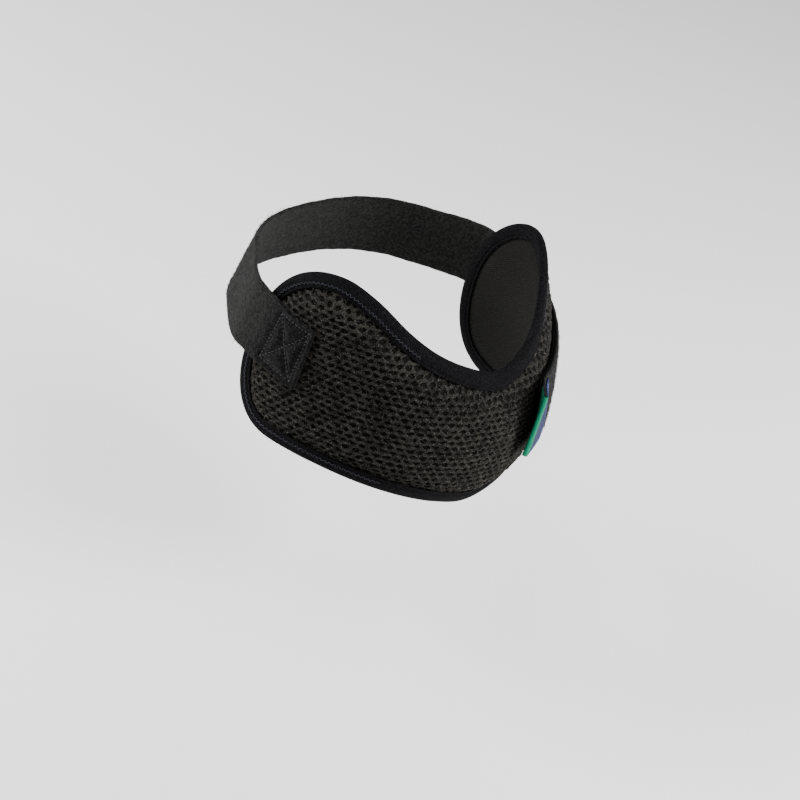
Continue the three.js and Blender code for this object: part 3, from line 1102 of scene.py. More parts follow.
@dataclass(frozen=True)
class HookTape:
    """Moulded hook tape: near black with a slight gloss."""

    dark: Colour = (0.002, 0.002, 0.002)
    light: Colour = (0.005, 0.005, 0.005)
    grain: float = 0.0006
    relief: float = 0.00008

    def make(self) -> bpy.types.Material:
        """Builds the finish.

        Returns:
            The material.
        """
        shader = ClothShader("hook_tape", roughness=0.6, sheen=0.0, specular=0.2)
        grain = shader.noise(shader.place(), self.grain)
        return shader.close(shader.mix(grain, self.dark, self.light), grain, self.relief)


@dataclass(frozen=True)
class WovenLabel:
    """Satin-woven label: a blue field, and a green band where it folds over the strap's end, painted
    darker green as shade past the fold's middle.
    """

    field_dark: Colour = (0.0006, 0.003, 0.030)
    field_light: Colour = (0.0015, 0.007, 0.058)
    band: Colour = (0.0, 0.20, 0.10)
    # The under colour gives the band's darker streaks. It is also painted shade on the fold's far side
    # and the turned-under part.
    under: Colour = (0.0, 0.060, 0.030)
    warp: float = 0.00044
    weft: float = 0.00022
    streak_length: float = 0.0003
    streak_width: float = 0.002
    streak_span: Span = (0.3, 0.7)
    band_start: Span = (0.0126, 0.0132)
    fold_shade_span: Span = (0.0145, 0.0151)
    band_share: float = 0.75
    relief: float = 0.00006

    def make(self) -> bpy.types.Material:
        """Builds the finish.

        Returns:
            The material.
        """
        shader = ClothShader("woven_label", roughness=0.6, sheen=0.0, specular=0.12)
        cloth = shader.cloth()
        warp, weft = shader.weave(cloth, self.warp, self.weft)
        rise = shader.math("MULTIPLY", warp, weft)
        along = shader.add("ShaderNodeSeparateXYZ", {"Vector": cloth}).outputs["X"]
        streaks = shader.noise(shader.stretched(cloth, self.streak_length, self.streak_width), 1.0)
        tone = shader.between(streaks, self.streak_span)
        blue = shader.mix(tone, self.field_dark, self.field_light)
        green = shader.mix(self.band_share, shader.mix(tone, self.under, self.band), self.band)
        colour = shader.mix(shader.between(along, self.band_start), blue, green)
        # Past the fold's middle the label takes the darker green of the painted shade.
        turned = shader.between(along, self.fold_shade_span)
        return shader.close(shader.mix(turned, colour, self.under), rise, self.relief)


@dataclass(frozen=True)
class Thread:
    """Spun sewing thread in one colour, with a soft sheen."""

    name: str
    dark: Colour
    light: Colour
    strand: float = 0.0003
    light_span: Span = (0.35, 0.65)
    relief: float = 0.00008

    def make(self) -> bpy.types.Material:
        """Builds the finish.

        Returns:
            The material.
        """
        shader = ClothShader(self.name, roughness=0.7, sheen=0.03, specular=0.2)
        strands = shader.noise(shader.place(), self.strand)
        colour = shader.mix(shader.between(strands, self.light_span), self.dark, self.light)
        return shader.close(colour, strands, self.relief)


@dataclass(frozen=True)
class FloorPaint:
    """The pale, even floor under the strap."""

    low: Colour = (0.90, 0.90, 0.90)
    high: Colour = (0.94, 0.94, 0.94)
    mottle: float = 0.4
    relief: float = 0.0002
    relief_strength: float = 0.1

    def make(self) -> bpy.types.Material:
        """Builds the finish.

        Returns:
            The material.
        """
        shader = ClothShader("floor_paint", roughness=0.9, sheen=0.0, specular=0.1)
        mottle = shader.noise(shader.place(), self.mottle)
        colour = shader.mix(mottle, self.low, self.high)
        return shader.close(colour, mottle, self.relief, self.relief_strength)


def grid_mesh(name: str, points: Array, cloth: Array, closed: tuple[bool, bool]) -> bpy.types.Mesh:
    """Makes a closed mesh from a grid of points.

    Args:
        name: The mesh's name.
        points: Places in space, by row and column.
        cloth: Places on the flat cloth, with one more row and column where the grid closes.
        closed: Whether the rows, and the columns, join up into rings.

    Returns:
        The mesh, with its open ends filled, its doubles merged and its faces pointing outwards.
    """
    rows, columns = points.shape[:2]
    bands, steps = (count if ring else count - 1 for count, ring in zip((rows, columns), closed))
    i, j = (index.ravel() for index in np.indices((bands, steps)))
    corners = [(i, j), (i, j + 1), (i + 1, j + 1), (i + 1, j)]
    faces = np.stack([(row % rows) * columns + column % columns for row, column in corners], axis=1)
    mesh = bpy.data.meshes.new(name)
    mesh.from_pydata(points.reshape(-1, 3).tolist(), [], faces.tolist())
    places = np.stack([cloth[row, column] for row, column in corners], axis=1)
    mesh.uv_layers.new(name="cloth").data.foreach_set("uv", places.ravel())
    shell = bmesh.new()
    shell.from_mesh(mesh)
    bmesh.ops.remove_doubles(shell, verts=shell.verts, dist=MERGE_DISTANCE)
    bmesh.ops.dissolve_degenerate(shell, edges=shell.edges, dist=LEAST_EDGE)
    open_edges = [edge for edge in shell.edges if edge.is_boundary]
    bmesh.ops.holes_fill(shell, edges=open_edges, sides=0)
    bmesh.ops.recalc_face_normals(shell, faces=shell.faces)
    for face in shell.faces:
        face.smooth = True
    shell.to_mesh(mesh)
    shell.free()
    return mesh


def points_mesh(name: str, points: Array) -> bpy.types.Mesh:
    """Makes a mesh of loose points.

    Args:
        name: The mesh's name.
        points: Their places, one row each.

    Returns:
        The mesh.
    """
    mesh = bpy.data.meshes.new(name)
    mesh.from_pydata(points.tolist(), [], [])
    return mesh


def runs_mesh(name: str, runs: Sequence[Array]) -> bpy.types.Mesh:
    """Makes a mesh of one or more runs of lines on the flat layout.

    Args:
        name: The mesh's name.
        runs: Each run's points in order, one row each.

    Returns:
        The mesh.
    """
    edges, first = [], 0
    for run in runs:
        edges += [(first + k, first + k + 1) for k in range(len(run) - 1)]
        first += len(run)
    mesh = bpy.data.meshes.new(name)
    mesh.from_pydata(raised(np.concatenate(runs), 0.0).tolist(), edges, [])
    return mesh


def face_mesh(name: str, corners: Array) -> bpy.types.Mesh:
    """Makes a mesh of one flat face.

    Args:
        name: The mesh's name.
        corners: The face's corners in order, one row each.

    Returns:
        The mesh.
    """
    mesh = bpy.data.meshes.new(name)
    mesh.from_pydata(corners.tolist(), [], [tuple(range(len(corners)))])
    return mesh


def vertices(mesh: bpy.types.Mesh) -> Array:
    """Reads the places of a mesh's vertices.

    Args:
        mesh: The mesh.

    Returns:
        One row for each vertex.
    """
    places = np.zeros(len(mesh.vertices) * 3)
    mesh.vertices.foreach_get("co", places)
    return places.reshape(-1, 3)


def mapped(mesh: bpy.types.Mesh) -> bpy.types.Mesh:
    """Keeps each corner's place on the flat layout as the mesh's cloth map.

    Args:
        mesh: A mesh that still lies flat.

    Returns:
        The same mesh.
    """
    corners = np.zeros(len(mesh.loops), np.int32)
    mesh.loops.foreach_get("vertex_index", corners)
    layer = mesh.uv_layers.new(name="cloth")
    layer.data.foreach_set("uv", vertices(mesh)[corners, :2].astype(np.float32).ravel())
    return mesh


def moved(mesh: bpy.types.Mesh, wrap: Wrap) -> bpy.types.Mesh:
    """Takes every vertex of a flat mesh to its place on the object.

    Args:
        mesh: The mesh.
        wrap: Takes flat places to their places on the object.

    Returns:
        The same mesh.
    """
    mesh.vertices.foreach_set("co", wrap(vertices(mesh)).ravel())
    mesh.update()
    return mesh


def piece(name: str, mesh: bpy.types.Mesh, replaces: str | None = None) -> bpy.types.Object:
    """Makes an object of a finished mesh and ties it to the frame.

    Args:
        name: The piece's name.
        mesh: Its mesh, in place.
        replaces: The CAD node that it stands for, if any.

    Returns:
        The object.
    """
    made = bpy.data.objects.new(name, mesh)
    bpy.context.scene.collection.objects.link(made)
    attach(made, "root")
    if replaces:
        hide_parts(replaces)
    log.info("%s: %d faces", name, len(mesh.polygons))
    return made


def joined(name: str, meshes: Sequence[bpy.types.Mesh]) -> bpy.types.Mesh:
    """Joins several dressed meshes into one that keeps their finishes.

    Args:
        name: The new mesh's name.
        meshes: The meshes, each with one finish.

    Returns:
        The new mesh.
    """
    whole = bmesh.new()
    finishes: list[bpy.types.Material] = []
    for mesh in meshes:
        before = len(whole.faces)
        whole.from_mesh(mesh)
        whole.faces.ensure_lookup_table()
        finishes.append(mesh.materials[0])
        for face in whole.faces[before:]:
            face.material_index = len(finishes) - 1
    result = bpy.data.meshes.new(name)
    whole.to_mesh(result)
    whole.free()
    for finish in finishes:
        result.materials.append(finish)
    return result


@dataclass
class SewingRoom:
    """The trees and threads that the sub-assemblies share."""

    knit: Repeat = field(default_factory=knit_tree)
    stitches: Repeat = field(default_factory=stitch_tree)
    hooks: Repeat = field(default_factory=hook_tree)
    nap: Repeat = field(default_factory=nap_tree)
    nap_fibre: Thread = Thread(
        name="nap_fibre", dark=(0.004, 0.004, 0.004), light=(0.030, 0.0305, 0.029)
    )
    knit_fibre: Thread = Thread(
        name="knit_fibre", dark=(0.006, 0.0058, 0.0052), light=(0.060, 0.058, 0.053)
    )
    grey_thread: Thread = Thread(
        name="grey_thread", dark=(0.010, 0.0104, 0.012), light=(0.042, 0.044, 0.050)
    )
    dark_thread: Thread = Thread(
        name="dark_thread", dark=(0.006, 0.0065, 0.009), light=(0.038, 0.041, 0.055)
    )
    blue_thread: Thread = Thread(
        name="blue_thread", dark=(0.03, 0.06, 0.2), light=(0.08, 0.14, 0.4)
    )

    def sew(
        self, name: str, runs: Sequence[Array], wrap: Wrap, thread: Thread, stitch: Stitch
    ) -> bpy.types.Mesh:
        """Sews stitches along runs of lines.

        Args:
            name: The seam's name.
            runs: The lines on the flat layout.
            wrap: Takes flat places to their places on the object.
            thread: The thread's finish.
            stitch: The stitches' sizes, and how they lie.

        Returns:
            The stitches as one mesh, in place.
        """
        sewn = self.stitches.run(runs_mesh(name, runs), thread.make(), stitch.sizes())
        return moved(sewn, wrap)

    def brush(
        self, name: str, corners: Array, wrap: Wrap, thread: Thread, fibres: Fibres
    ) -> bpy.types.Mesh:
        """Stands loose fibres on a face.

        Args:
            name: The fibres' name.
            corners: The face's corners on the flat layout.
            wrap: Takes flat places to their places on the object.
            thread: The fibres' finish.
            fibres: Their number and sizes.

        Returns:
            The fibres as one mesh, in place.
        """
        stood = self.nap.run(face_mesh(name, corners), thread.make(), fibres.sizes())
        return moved(stood, wrap)


@dataclass
class PaddedFront:
    """The padded front: a swelling core, its lining, and the knitted mesh over its outer face."""

    shape: PadShape
    room: SewingRoom
    cell_length: float = 0.0035
    cell_height: float = 0.0044
    loop_height_share: float = 0.6
    yarn_width: float = 0.00155
    yarn_thickness: float = 0.00095
    loop_overlap: float = 0.00015
    end_dip: float = 0.00055
    loop_turn: float = 0.2
    loop_spread: float = 0.12
    knit_depth: float = 0.0009
    unevenness: float = 0.00018
    bulges: tuple[Ripple, Ripple] = (
        Ripple(turns=5200.0, bend=3.0, bend_turns=1900.0),
        Ripple(turns=4300.0, bend=2.0, bend_turns=1300.0),
    )
    sways: tuple[Ripple, Ripple] = (
        Ripple(turns=310.0, bend=1.0, bend_turns=240.0),
        Ripple(turns=2300.0, bend=2.0, bend_turns=1700.0),
    )
    drift: Ripple = Ripple(turns=2100.0, bend=2.0, bend_turns=1500.0)
    fibres: Fibres = Fibres(density=480000.0, length=0.0011, height=0.00022, radius=0.00004)
    fibre_rise: float = 0.0002
    knit_inset: float = 0.0034
    shoulder_rings: int = 9
    inner_rings: int = 9

    def face_rings(self) -> tuple[list[Array], list[float]]:
        """Works out flat rings from the pressed edge to the middle line.

        Returns:
            The rings, and how deep inside the outline each one lies.
        """
        outline = self.shape.outline()
        reach = self.shape.shoulder_inset + self.shape.shoulder
        shoulder = np.linspace(self.shape.shoulder_inset, reach, self.shoulder_rings)
        depths = [self.shape.edge_inset, *shoulder]
        rings = [self.shape.inset(outline, depth) for depth in depths]
        spine_reach = self.shape.half_length - self.shape.waist_height / 2 - self.shape.shoulder
        along = np.clip(outline[:, 0], -spine_reach, spine_reach)
        spine = np.stack([along, self.shape.spine(along)], axis=1)
        full = rings[-1]
        for share in np.linspace(0.0, 1.0, self.inner_rings + 1)[1:]:
            rings.append(full + (spine - full) * share)
            depths.append(reach)
        return rings, depths

    def core(self) -> bpy.types.Mesh:
        """Builds the core: an outer face under the mesh, and the lining inside the loop.

        Returns:
            The core's mesh, in place.
        """
        rings, depths = self.face_rings()
        full = self.shape.thickness
        proud = self.shape.outer_proud(np.array(depths))
        pressed = self.shape.outer_proud(np.zeros(1))[0]
        settled = self.shape.edge_inset * (full - proud) / (full - pressed)
        outer = [raised(ring, out - self.knit_depth) for ring, out in zip(rings, proud)]
        inner = [raised(ring, out) for ring, out in zip(rings, settled)]
        flat = np.stack(outer[::-1] + inner)
        cloth = np.concatenate([flat, flat[:, :1]], axis=1)[..., :2]
        mesh = grid_mesh("pad_core", laid(flat, self.shape.loop.wrap), cloth, (False, True))
        out = self.shape.loop.proud_of(vertices(mesh))
        halfway = (self.shape.edge_inset + pressed - self.knit_depth) / 2
        lining = mesh.attributes.new("lining", "FLOAT", "POINT")
        lining.data.foreach_set("value", (out < halfway).astype(np.float32))
        mesh.materials.append(PadCore().make())
        return mesh

    def lattice(self) -> Array:
        """Works out the middles of the mesh's holes: staggered rows that fill the pad's outline.

        Returns:
            One row (along, height) for each hole.
        """
        cell = np.array([self.cell_length, self.cell_height])
        columns, rows = np.ceil(np.abs(self.shape.outline()).max(axis=0) / cell)
        counts = np.meshgrid(np.arange(-columns, columns + 1), np.arange(-rows, rows + 1))
        spots = np.stack(counts, axis=-1).reshape(-1, 2) * cell
        both = np.concatenate([spots, spots + cell / 2])
        return both[self.shape.depth_inside(both) > self.knit_inset]

    def lie_on_face(self, flat: Array) -> Array:
        """Takes flat yarn to its place on the pad's outer face, a little unevenly.

        Args:
            flat: Places on the flat layout, one row each, with their height over the yarn's middle.

        Returns:
            The same places in space.
        """
        along, height, proud = flat.T
        bulge = self.bulges[0].over(along, height) * self.bulges[1].over(height, along)
        sway = self.sways[0].over(along, height) + self.sways[1].over(along, height)
        drift = self.drift.over(height, along)
        top = self.shape.outer_proud(self.shape.depth_inside(flat[:, :2]))
        out = top - self.yarn_thickness / 2 + proud + self.unevenness * bulge
        uneven = [along + self.unevenness * drift, height + self.unevenness * sway, out]
        return self.shape.loop.wrap(np.column_stack(uneven))

    def knit(self) -> bpy.types.Mesh:
        """Builds the knitted mesh: one loop of yarn round each hole.

        Returns:
            All the loops as one mesh, in place.
        """
        sizes = {
            "Loop Length": self.cell_length + self.loop_overlap,
            "Loop Height": self.cell_height * self.loop_height_share + self.loop_overlap,
            "Yarn Width": self.yarn_width,
            "Yarn Thickness": self.yarn_thickness,
            "End Dip": self.end_dip,
            "Turn": self.loop_turn,
            "Spread": self.loop_spread,
        }
        middles = points_mesh("knit", raised(self.lattice(), 0.0))
        loops = self.room.knit.run(middles, KnitYarn().make(), sizes)
        return moved(mapped(loops), self.lie_on_face)

    def fuzz(self) -> bpy.types.Mesh:
        """Builds the loose fibres that stand on the knit.

        Returns:
            All the fibres as one mesh, in place.
        """
        outline = self.shape.inset(self.shape.outline(), self.knit_inset)
        corners = raised(outline, self.fibre_rise)
        return self.room.brush("fuzz", corners, self.lie_on_face, self.room.knit_fibre, self.fibres)

    def build(self) -> bpy.types.Object:
        """Builds and dresses the padded front and its loose fibres.

        Returns:
            The padded front.
        """
        piece("knit_fuzz", self.fuzz())
        both = joined("padded_front", [self.core(), self.knit()])
        pad = piece("padded_front", both, "pad")
        return pad


@dataclass
class BoundEdge:
    """The elastic tape folded over the pad's edge, and the thread that holds it."""

    shape: PadShape
    room: SewingRoom
    width: float = 0.0055
    thickness: float = 0.0008
    depth: float = 0.0038
    roundness: float = 0.0019
    seam_inset: float = 0.0036
    seam_from_middle: float = 0.040
    groove_inset: float = 0.0044
    groove_depth: float = 0.0004
    groove_width: float = 0.0004
    nose_stretch: float = 1.25
    tuck: float = 0.0007
    tuck_width: float = 0.0012
    outer_tuck_share: float = 0.6
    inner_tuck_share: float = 0.3
    round_steps: int = 7
    flat_steps: int = 14
    stitch: Stitch = Stitch(
        spacing=0.0009, length=0.0014, thread=0.00027, slant=0.85, seam=Seam.ZIGZAG
    )

    def section(self) -> Array:
        """Works out the folded tape's section.

        Returns:
            One row (inset, proud) for each point, in order round the section.
        """
        angles = np.linspace(0.0, math.pi / 2, self.round_steps)
        radius, rise = self.roundness * self.nose_stretch, self.depth / 2
        nose_in = np.stack([radius * (1 - np.sin(angles)), rise * (1 - np.cos(angles))], axis=1)
        nose_out = nose_in[::-1] * [1.0, -1.0] + [0.0, self.depth]
        run = np.linspace(radius, self.width, self.flat_steps)[1:]
        groove = self.groove_depth * np.exp(-(((run - self.groove_inset) / self.groove_width) ** 2))
        tuck = self.tuck * smooth_rise(run, self.width - self.tuck_width, self.width)
        face_out = np.stack([run, self.depth - groove - tuck * self.outer_tuck_share], axis=1)
        face_in = np.stack([run, groove + tuck * self.inner_tuck_share], axis=1)[::-1]
        low, high = self.thickness, self.depth - self.thickness
        pocket = [[self.width, high], [low, high], [low, low], [self.width, low]]
        return np.concatenate([nose_in, nose_out[1:], face_out, pocket, face_in])

    def tape(self) -> bpy.types.Mesh:
        """Builds the tape by sweeping its section round the pad's outline.

        Returns:
            The tape's mesh, in place.
        """
        outline = self.shape.outline()
        section = self.section()
        flat = np.stack([raised(self.shape.inset(outline, inset), proud) for inset, proud in section])
        around = run_lengths(steps_round(outline))
        across = run_lengths(steps_round(section))
        cloth = np.stack(np.meshgrid(around, across), axis=-1)
        mesh = grid_mesh("tape", laid(flat, self.shape.loop.wrap), cloth, (True, True))
        mesh.materials.append(BindingTape().make())
        return mesh

    def on_tape(self, flat: Array) -> Array:
        """Takes flat stitches to the tape's outer face."""
        proud = self.depth + flat[:, 2]
        return self.shape.loop.wrap(np.column_stack([flat[:, :2], proud]))

    def build(self) -> bpy.types.Object:
        """Builds and dresses the tape and its seam.

        Returns:
            The tape.
        """
        outline = self.shape.outline()
        tape = piece("bound_edge", self.tape(), "edge_binding")
        line = self.shape.inset(outline, self.seam_inset)
        ends = [line[side * line[:, 0] > self.seam_from_middle] for side in (1.0, -1.0)]
        thread = self.room.dark_thread
        seam = self.room.sew("edge_stitches", ends, self.on_tape, thread, self.stitch)
        sewn = [piece("edge_stitches", seam)]
        return tape


@dataclass
class ClosingStrap:
    """The brushed strap that closes the loop, and the crossed box of thread at its sewn end."""

    shape: StrapShape
    room: SewingRoom
    step: float = 0.0008
    across_steps: int = 28
    edge_roundness: float = 0.0011
    edge_wander: float = 0.00009
    wander_turns: float = 410.0
    ripple_turns: float = 1130.0
    ripple_start: float = 1.3
    ripple_share: float = 0.6
    seam_from_end: float = 0.0022
    seam_box_length: float = 0.0130
    seam_from_edge: float = 0.0021
    pinch: float = 0.0010
    pinch_width: float = 0.0011
    quilt: float = 0.0005
    quilt_reach: float = 0.0035
    stitch: Stitch = Stitch(spacing=0.0015, length=0.0011, thread=0.0004, slant=0.25)
    thread_depth: float = 0.7
    fibres: Fibres = Fibres(density=1000000.0, length=0.0009, height=0.0003, radius=0.00004)
    nap_from_end: float = 0.0135

    def seams(self) -> list[Array]:
        """Works out the sewn box and its two diagonals.

        Returns:
            Each run's corners, as places along and across the strap.
        """
        near = self.shape.sewn_end + self.seam_from_end
        far = near + self.seam_box_length
        low = -self.shape.sewn_width / 2 + self.seam_from_edge
        corners = np.array([[near, low], [far, low], [far, -low], [near, -low]])
        box = np.concatenate([corners, corners[:1]])
        return [box, corners[[0, 2]], corners[[1, 3]]]

    def pinched(self, places: Array) -> Array:
        """Works out how far the seams pull the strap's outer face down.

        Args:
            places: Places along and across the strap, one row each.

        Returns:
            The depths, less than 0 where the cloth swells between the seams.
        """
        seams = self.seams()
        reach = distance_to_runs(places, seams)
        low, high = seams[0].min(axis=0), seams[0].max(axis=0)
        boxed = ((places > low) & (places < high)).all(axis=1)
        swell = self.quilt * boxed * smooth_rise(reach, 0.0, self.quilt_reach)
        return self.pinch * np.exp(-((reach / self.pinch_width) ** 2)) - swell

    def section(self) -> Array:
        """Works out the strap's section.

        Returns:
            One row (share across, share out) for each point, in order round the section.
        """
        angles = np.linspace(-math.pi / 2, math.pi / 2, self.across_steps + 1)
        across = np.sin(angles)
        into = np.clip((1 - np.abs(across)) * self.shape.width / 2 / self.edge_roundness, 0.0, 1.0)
        out = np.sqrt(1 - (1 - into) ** 2)
        top = np.stack([across, out], axis=1)
        return np.concatenate([top, (top * [1.0, -1.0])[-2:0:-1]])

    def cloth(self) -> bpy.types.Mesh:
        """Builds the strap by sweeping its section along its route.

        Returns:
            The strap's mesh, in place.
        """
        count = round((self.shape.free_end - self.shape.sewn_end) / self.step)
        stations = np.linspace(self.shape.sewn_end, self.shape.free_end, count + 1)
        section = self.section()
        along = np.repeat(stations[:, None], len(section), axis=1)
        ripple = self.ripple_share * np.sin(stations * self.ripple_turns + self.ripple_start)
        wander = self.edge_wander * (np.sin(stations * self.wander_turns) + ripple)
        half = self.shape.half_width(stations) + wander
        across = half[:, None] * section[:, 0]
        places = np.column_stack([along.ravel(), across.ravel()])
        drawn = np.where(section[:, 1] > 0, self.pinched(places).reshape(along.shape), 0.0)
        out = self.shape.thick(along) / 2 * (1 + section[:, 1]) - drawn
        flat = np.stack([along, across, self.shape.inner(along) + out], axis=-1)
        girth = np.arange(len(section) + 1) * self.shape.width / self.across_steps
        cloth = np.stack(np.meshgrid(girth, stations), axis=-1)[..., ::-1]
        mesh = grid_mesh("closing_strap", laid(flat, self.shape.wrap), cloth, (False, True))
        mesh.materials.append(BrushedLoop().make())
        return mesh

    def on_strap(self, flat: Array) -> Array:
        """Takes flat stitches to the strap's outer face."""
        proud = self.shape.outer(flat[:, 0]) - self.pinch * self.thread_depth + flat[:, 2]
        return self.shape.wrap(np.column_stack([flat[:, :2], proud]))

    def on_face(self, flat: Array) -> Array:
        """Takes flat fibres to the strap's outer face, across its whole width.

        Args:
            flat: Places along and across the sewn end's width, and their height over the face.

        Returns:
            The same places in space.
        """
        along, across, proud = flat.T
        across = across * self.shape.half_width(along) / (self.shape.sewn_width / 2)
        face = self.shape.outer(along) - self.pinched(np.column_stack([along, across]))
        return self.shape.wrap(np.column_stack([along, across, face + proud]))

    def nap(self) -> bpy.types.Mesh:
        """Builds the short fibres that stand on the brushed outer face.

        Returns:
            All the fibres as one mesh, in place.
        """
        half = self.shape.sewn_width / 2
        start, end = self.shape.sewn_end, self.shape.free_end - self.nap_from_end
        corners = raised(np.array([[start, -half], [end, -half], [end, half], [start, half]]), 0.0)
        return self.room.brush("nap", corners, self.on_face, self.room.nap_fibre, self.fibres)

    def build(self) -> bpy.types.Object:
        """Builds and dresses the strap, its seam and its nap.

        Returns:
            The strap.
        """
        strap = piece("closing_strap", self.cloth(), "back_strap")
        thread = self.room.grey_thread
        seam = self.room.sew("box_stitches", self.seams(), self.on_strap, thread, self.stitch)
        stitches = piece("box_stitches", seam)
        fibres = piece("strap_nap", self.nap())
        return strap


@dataclass
class HookPatch:
    """The hook tape under the strap's free end: a thin backing with rows of small hooks."""

    shape: StrapShape
    room: SewingRoom
    width: float = 0.024
    backing: float = 0.0005
    pitch: float = 0.0013
    margin: float = 0.0009
    stem: float = 0.00012
    across_steps: int = 12
    step: float = 0.0015

    def on_pad(self, flat: Array) -> Array:
        """Takes flat places to the patch's place under the strap, with the hooks pointing inwards."""
        top = self.shape.lift(flat[:, 0]) - self.shape.clearance
        return self.shape.wrap(np.column_stack([flat[:, :2], top - flat[:, 2]]))

    def tape(self) -> bpy.types.Mesh:
        """Builds the backing.

        Returns:
            The backing's mesh, in place.
        """
        count = round(self.shape.hook_length / self.step)
        stations = np.linspace(self.shape.hook_start, self.shape.hook_end, count + 1)
        across = np.linspace(-self.width / 2, self.width / 2, self.across_steps + 1)
        top = np.stack([across, np.zeros_like(across)], axis=1)
        section = np.concatenate([top, (top + [0.0, self.backing])[::-1]])
        flat = np.stack([np.column_stack([np.full(len(section), at), section]) for at in stations])
        cloth = np.concatenate([flat, flat[:, :1]], axis=1)[..., :2]
        mesh = grid_mesh("hook_tape", laid(flat, self.on_pad), cloth, (False, True))
        mesh.materials.append(HookTape().make())
        return mesh

    def hooks(self) -> bpy.types.Mesh:
        """Builds the rows of hooks.

        Returns:
            All the hooks as one mesh, in place.
        """
        start, end = self.shape.hook_start + self.margin, self.shape.hook_end - self.margin
        half = self.width / 2 - self.margin
        rows = np.meshgrid(np.arange(start, end, self.pitch), np.arange(-half, half, self.pitch))
        spots = points_mesh("hooks", raised(np.stack(rows, axis=-1).reshape(-1, 2), self.backing))
        height = self.shape.hook_thickness - self.backing - self.stem
        sizes = {"Hook Height": height, "Stem": self.stem}
        return moved(self.room.hooks.run(spots, HookTape().make(), sizes), self.on_pad)

    def build(self) -> bpy.types.Object:
        """Builds and dresses the patch and its hooks.

        Returns:
            The patch's backing.
        """
        tape = piece("hook_tape", self.tape(), "hook_patch")
        hooks = piece("hook_pile", self.hooks())
        return tape


@dataclass
class FoldedLabel:
    """The bare woven label folded over the strap's free end and sewn down."""

    shape: StrapShape
    room: SewingRoom
    width: float = 0.025
    length: float = 0.013
    turn_under: float = 0.005
    thickness: float = 0.0004
    closeness: float = 0.00008
    from_lower_edge: float = 0.0005
    step: float = 0.001
    fold_steps: int = 14
    across_steps: int = 16
    seam_inset: float = 0.0014
    stitch: Stitch = Stitch(spacing=0.0019, length=0.0015, thread=0.0003, slant=0.0)

    @property
    def gap(self) -> float:
        """Returns the distance from the strap's face to the middle of the label's thickness."""
        return self.closeness + self.thickness / 2

    def route(self) -> Array:
        """Works out the label's route over the strap's end.

        Returns:
            One row (along, proud, facing, cloth length) for each station.
        """
        end, strap = self.shape.free_end, self.shape.end_thickness
        flap = np.linspace(end - self.length, end, round(self.length / self.step) + 1)
        over = np.column_stack([flap, self.shape.outer(flap) + self.gap, np.zeros_like(flap)])
        angle = np.linspace(0.0, math.pi, self.fold_steps + 1)[1:-1]
        radius = strap / 2 + self.gap
        middle = self.shape.inner(np.array([end]))[0] + strap / 2
        fold = np.column_stack([end + radius * np.sin(angle), middle + radius * np.cos(angle), angle])
        back = end - np.linspace(0.0, self.turn_under, round(self.turn_under / self.step) + 1)
        under = np.column_stack([back, self.shape.inner(back) - self.gap, np.full_like(back, math.pi)])
        route = np.concatenate([over, fold, under])
        steps = np.linalg.norm(np.diff(route[:, :2], axis=0), axis=1)
        return np.column_stack([route, run_lengths(steps)])

    def cloth(self) -> bpy.types.Mesh:
        """Builds the label by sweeping a thin section along its route.

        Returns:
            The label's mesh, in place.
        """
        across = np.linspace(0.0, self.width, self.across_steps + 1)
        middle = self.from_lower_edge - self.shape.width / 2
        top = np.stack([across + middle, np.full_like(across, self.thickness / 2)], axis=1)
        section = np.concatenate([top, (top * [1.0, -1.0])[::-1]])
        route = self.route()
        along = route[:, :1] + section[:, 1] * np.sin(route[:, 2:3])
        proud = route[:, 1:2] + section[:, 1] * np.cos(route[:, 2:3])
        flat = np.stack([along, np.broadcast_to(section[:, 0], along.shape), proud], axis=-1)
        sideways = np.concatenate([section[:, 0], section[:1, 0]])
        cloth = np.stack(np.meshgrid(sideways, route[:, 3]), axis=-1)[..., ::-1]
        mesh = grid_mesh("folded_label", laid(flat, self.shape.wrap), cloth, (False, True))
        mesh.materials.append(WovenLabel().make())
        return mesh

    def on_label(self, flat: Array) -> Array:
        """Takes flat stitches to the label's outer face."""
        proud = self.shape.outer(flat[:, 0]) + self.gap + self.thickness / 2
        return self.shape.wrap(np.column_stack([flat[:, :2], proud + flat[:, 2]]))

    def build(self) -> bpy.types.Object:
        """Builds and dresses the label and its seam.

        Returns:
            The label.
        """
        label = piece("folded_label", self.cloth(), "label")
        low = self.from_lower_edge - self.shape.width / 2 + self.seam_inset
        high = low + self.width - 2 * self.seam_inset
        start = self.shape.free_end - self.length + self.seam_inset
        end = self.shape.free_end - 2 * self.seam_inset
        run = np.array([[end, low], [start, low], [start, high], [end, high]])
        thread = self.room.blue_thread
        seam = self.room.sew("label_stitches", [run], self.on_label, thread, self.stitch)
        sewn = [piece("label_stitches", seam)]
        size = (self.width, float(self.route()[-1, 3]))
        return label


def towards(turn: float, rise: float) -> Vector:
    """Works out a direction from two angles.

    Args:
        turn: The angle round from the front, in degrees.
        rise: The angle up from level, in degrees.

    Returns:
        The direction, one unit long.
    """
    turn, rise = math.radians(turn), math.radians(rise)
    level = math.cos(rise)
    return Vector((math.sin(turn) * level, -math.cos(turn) * level, math.sin(rise)))


@dataclass(frozen=True)
class Lamp:
    """One soft square light that faces the strap: its direction in degrees, and its power in watts."""

    name: str
    turn: float
    rise: float
    distance: float
    size: float
    power: float

    def build(self) -> None:
        """Places the light."""
        data = bpy.data.lights.new(self.name, "AREA")
        data.size = self.size
        data.energy = self.power
        lamp = bpy.data.objects.new(self.name, data)
        back = towards(self.turn, self.rise)
        lamp.location = back * self.distance
        lamp.rotation_euler = back.to_track_quat("Z", "Y").to_euler()
        bpy.context.scene.collection.objects.link(lamp)


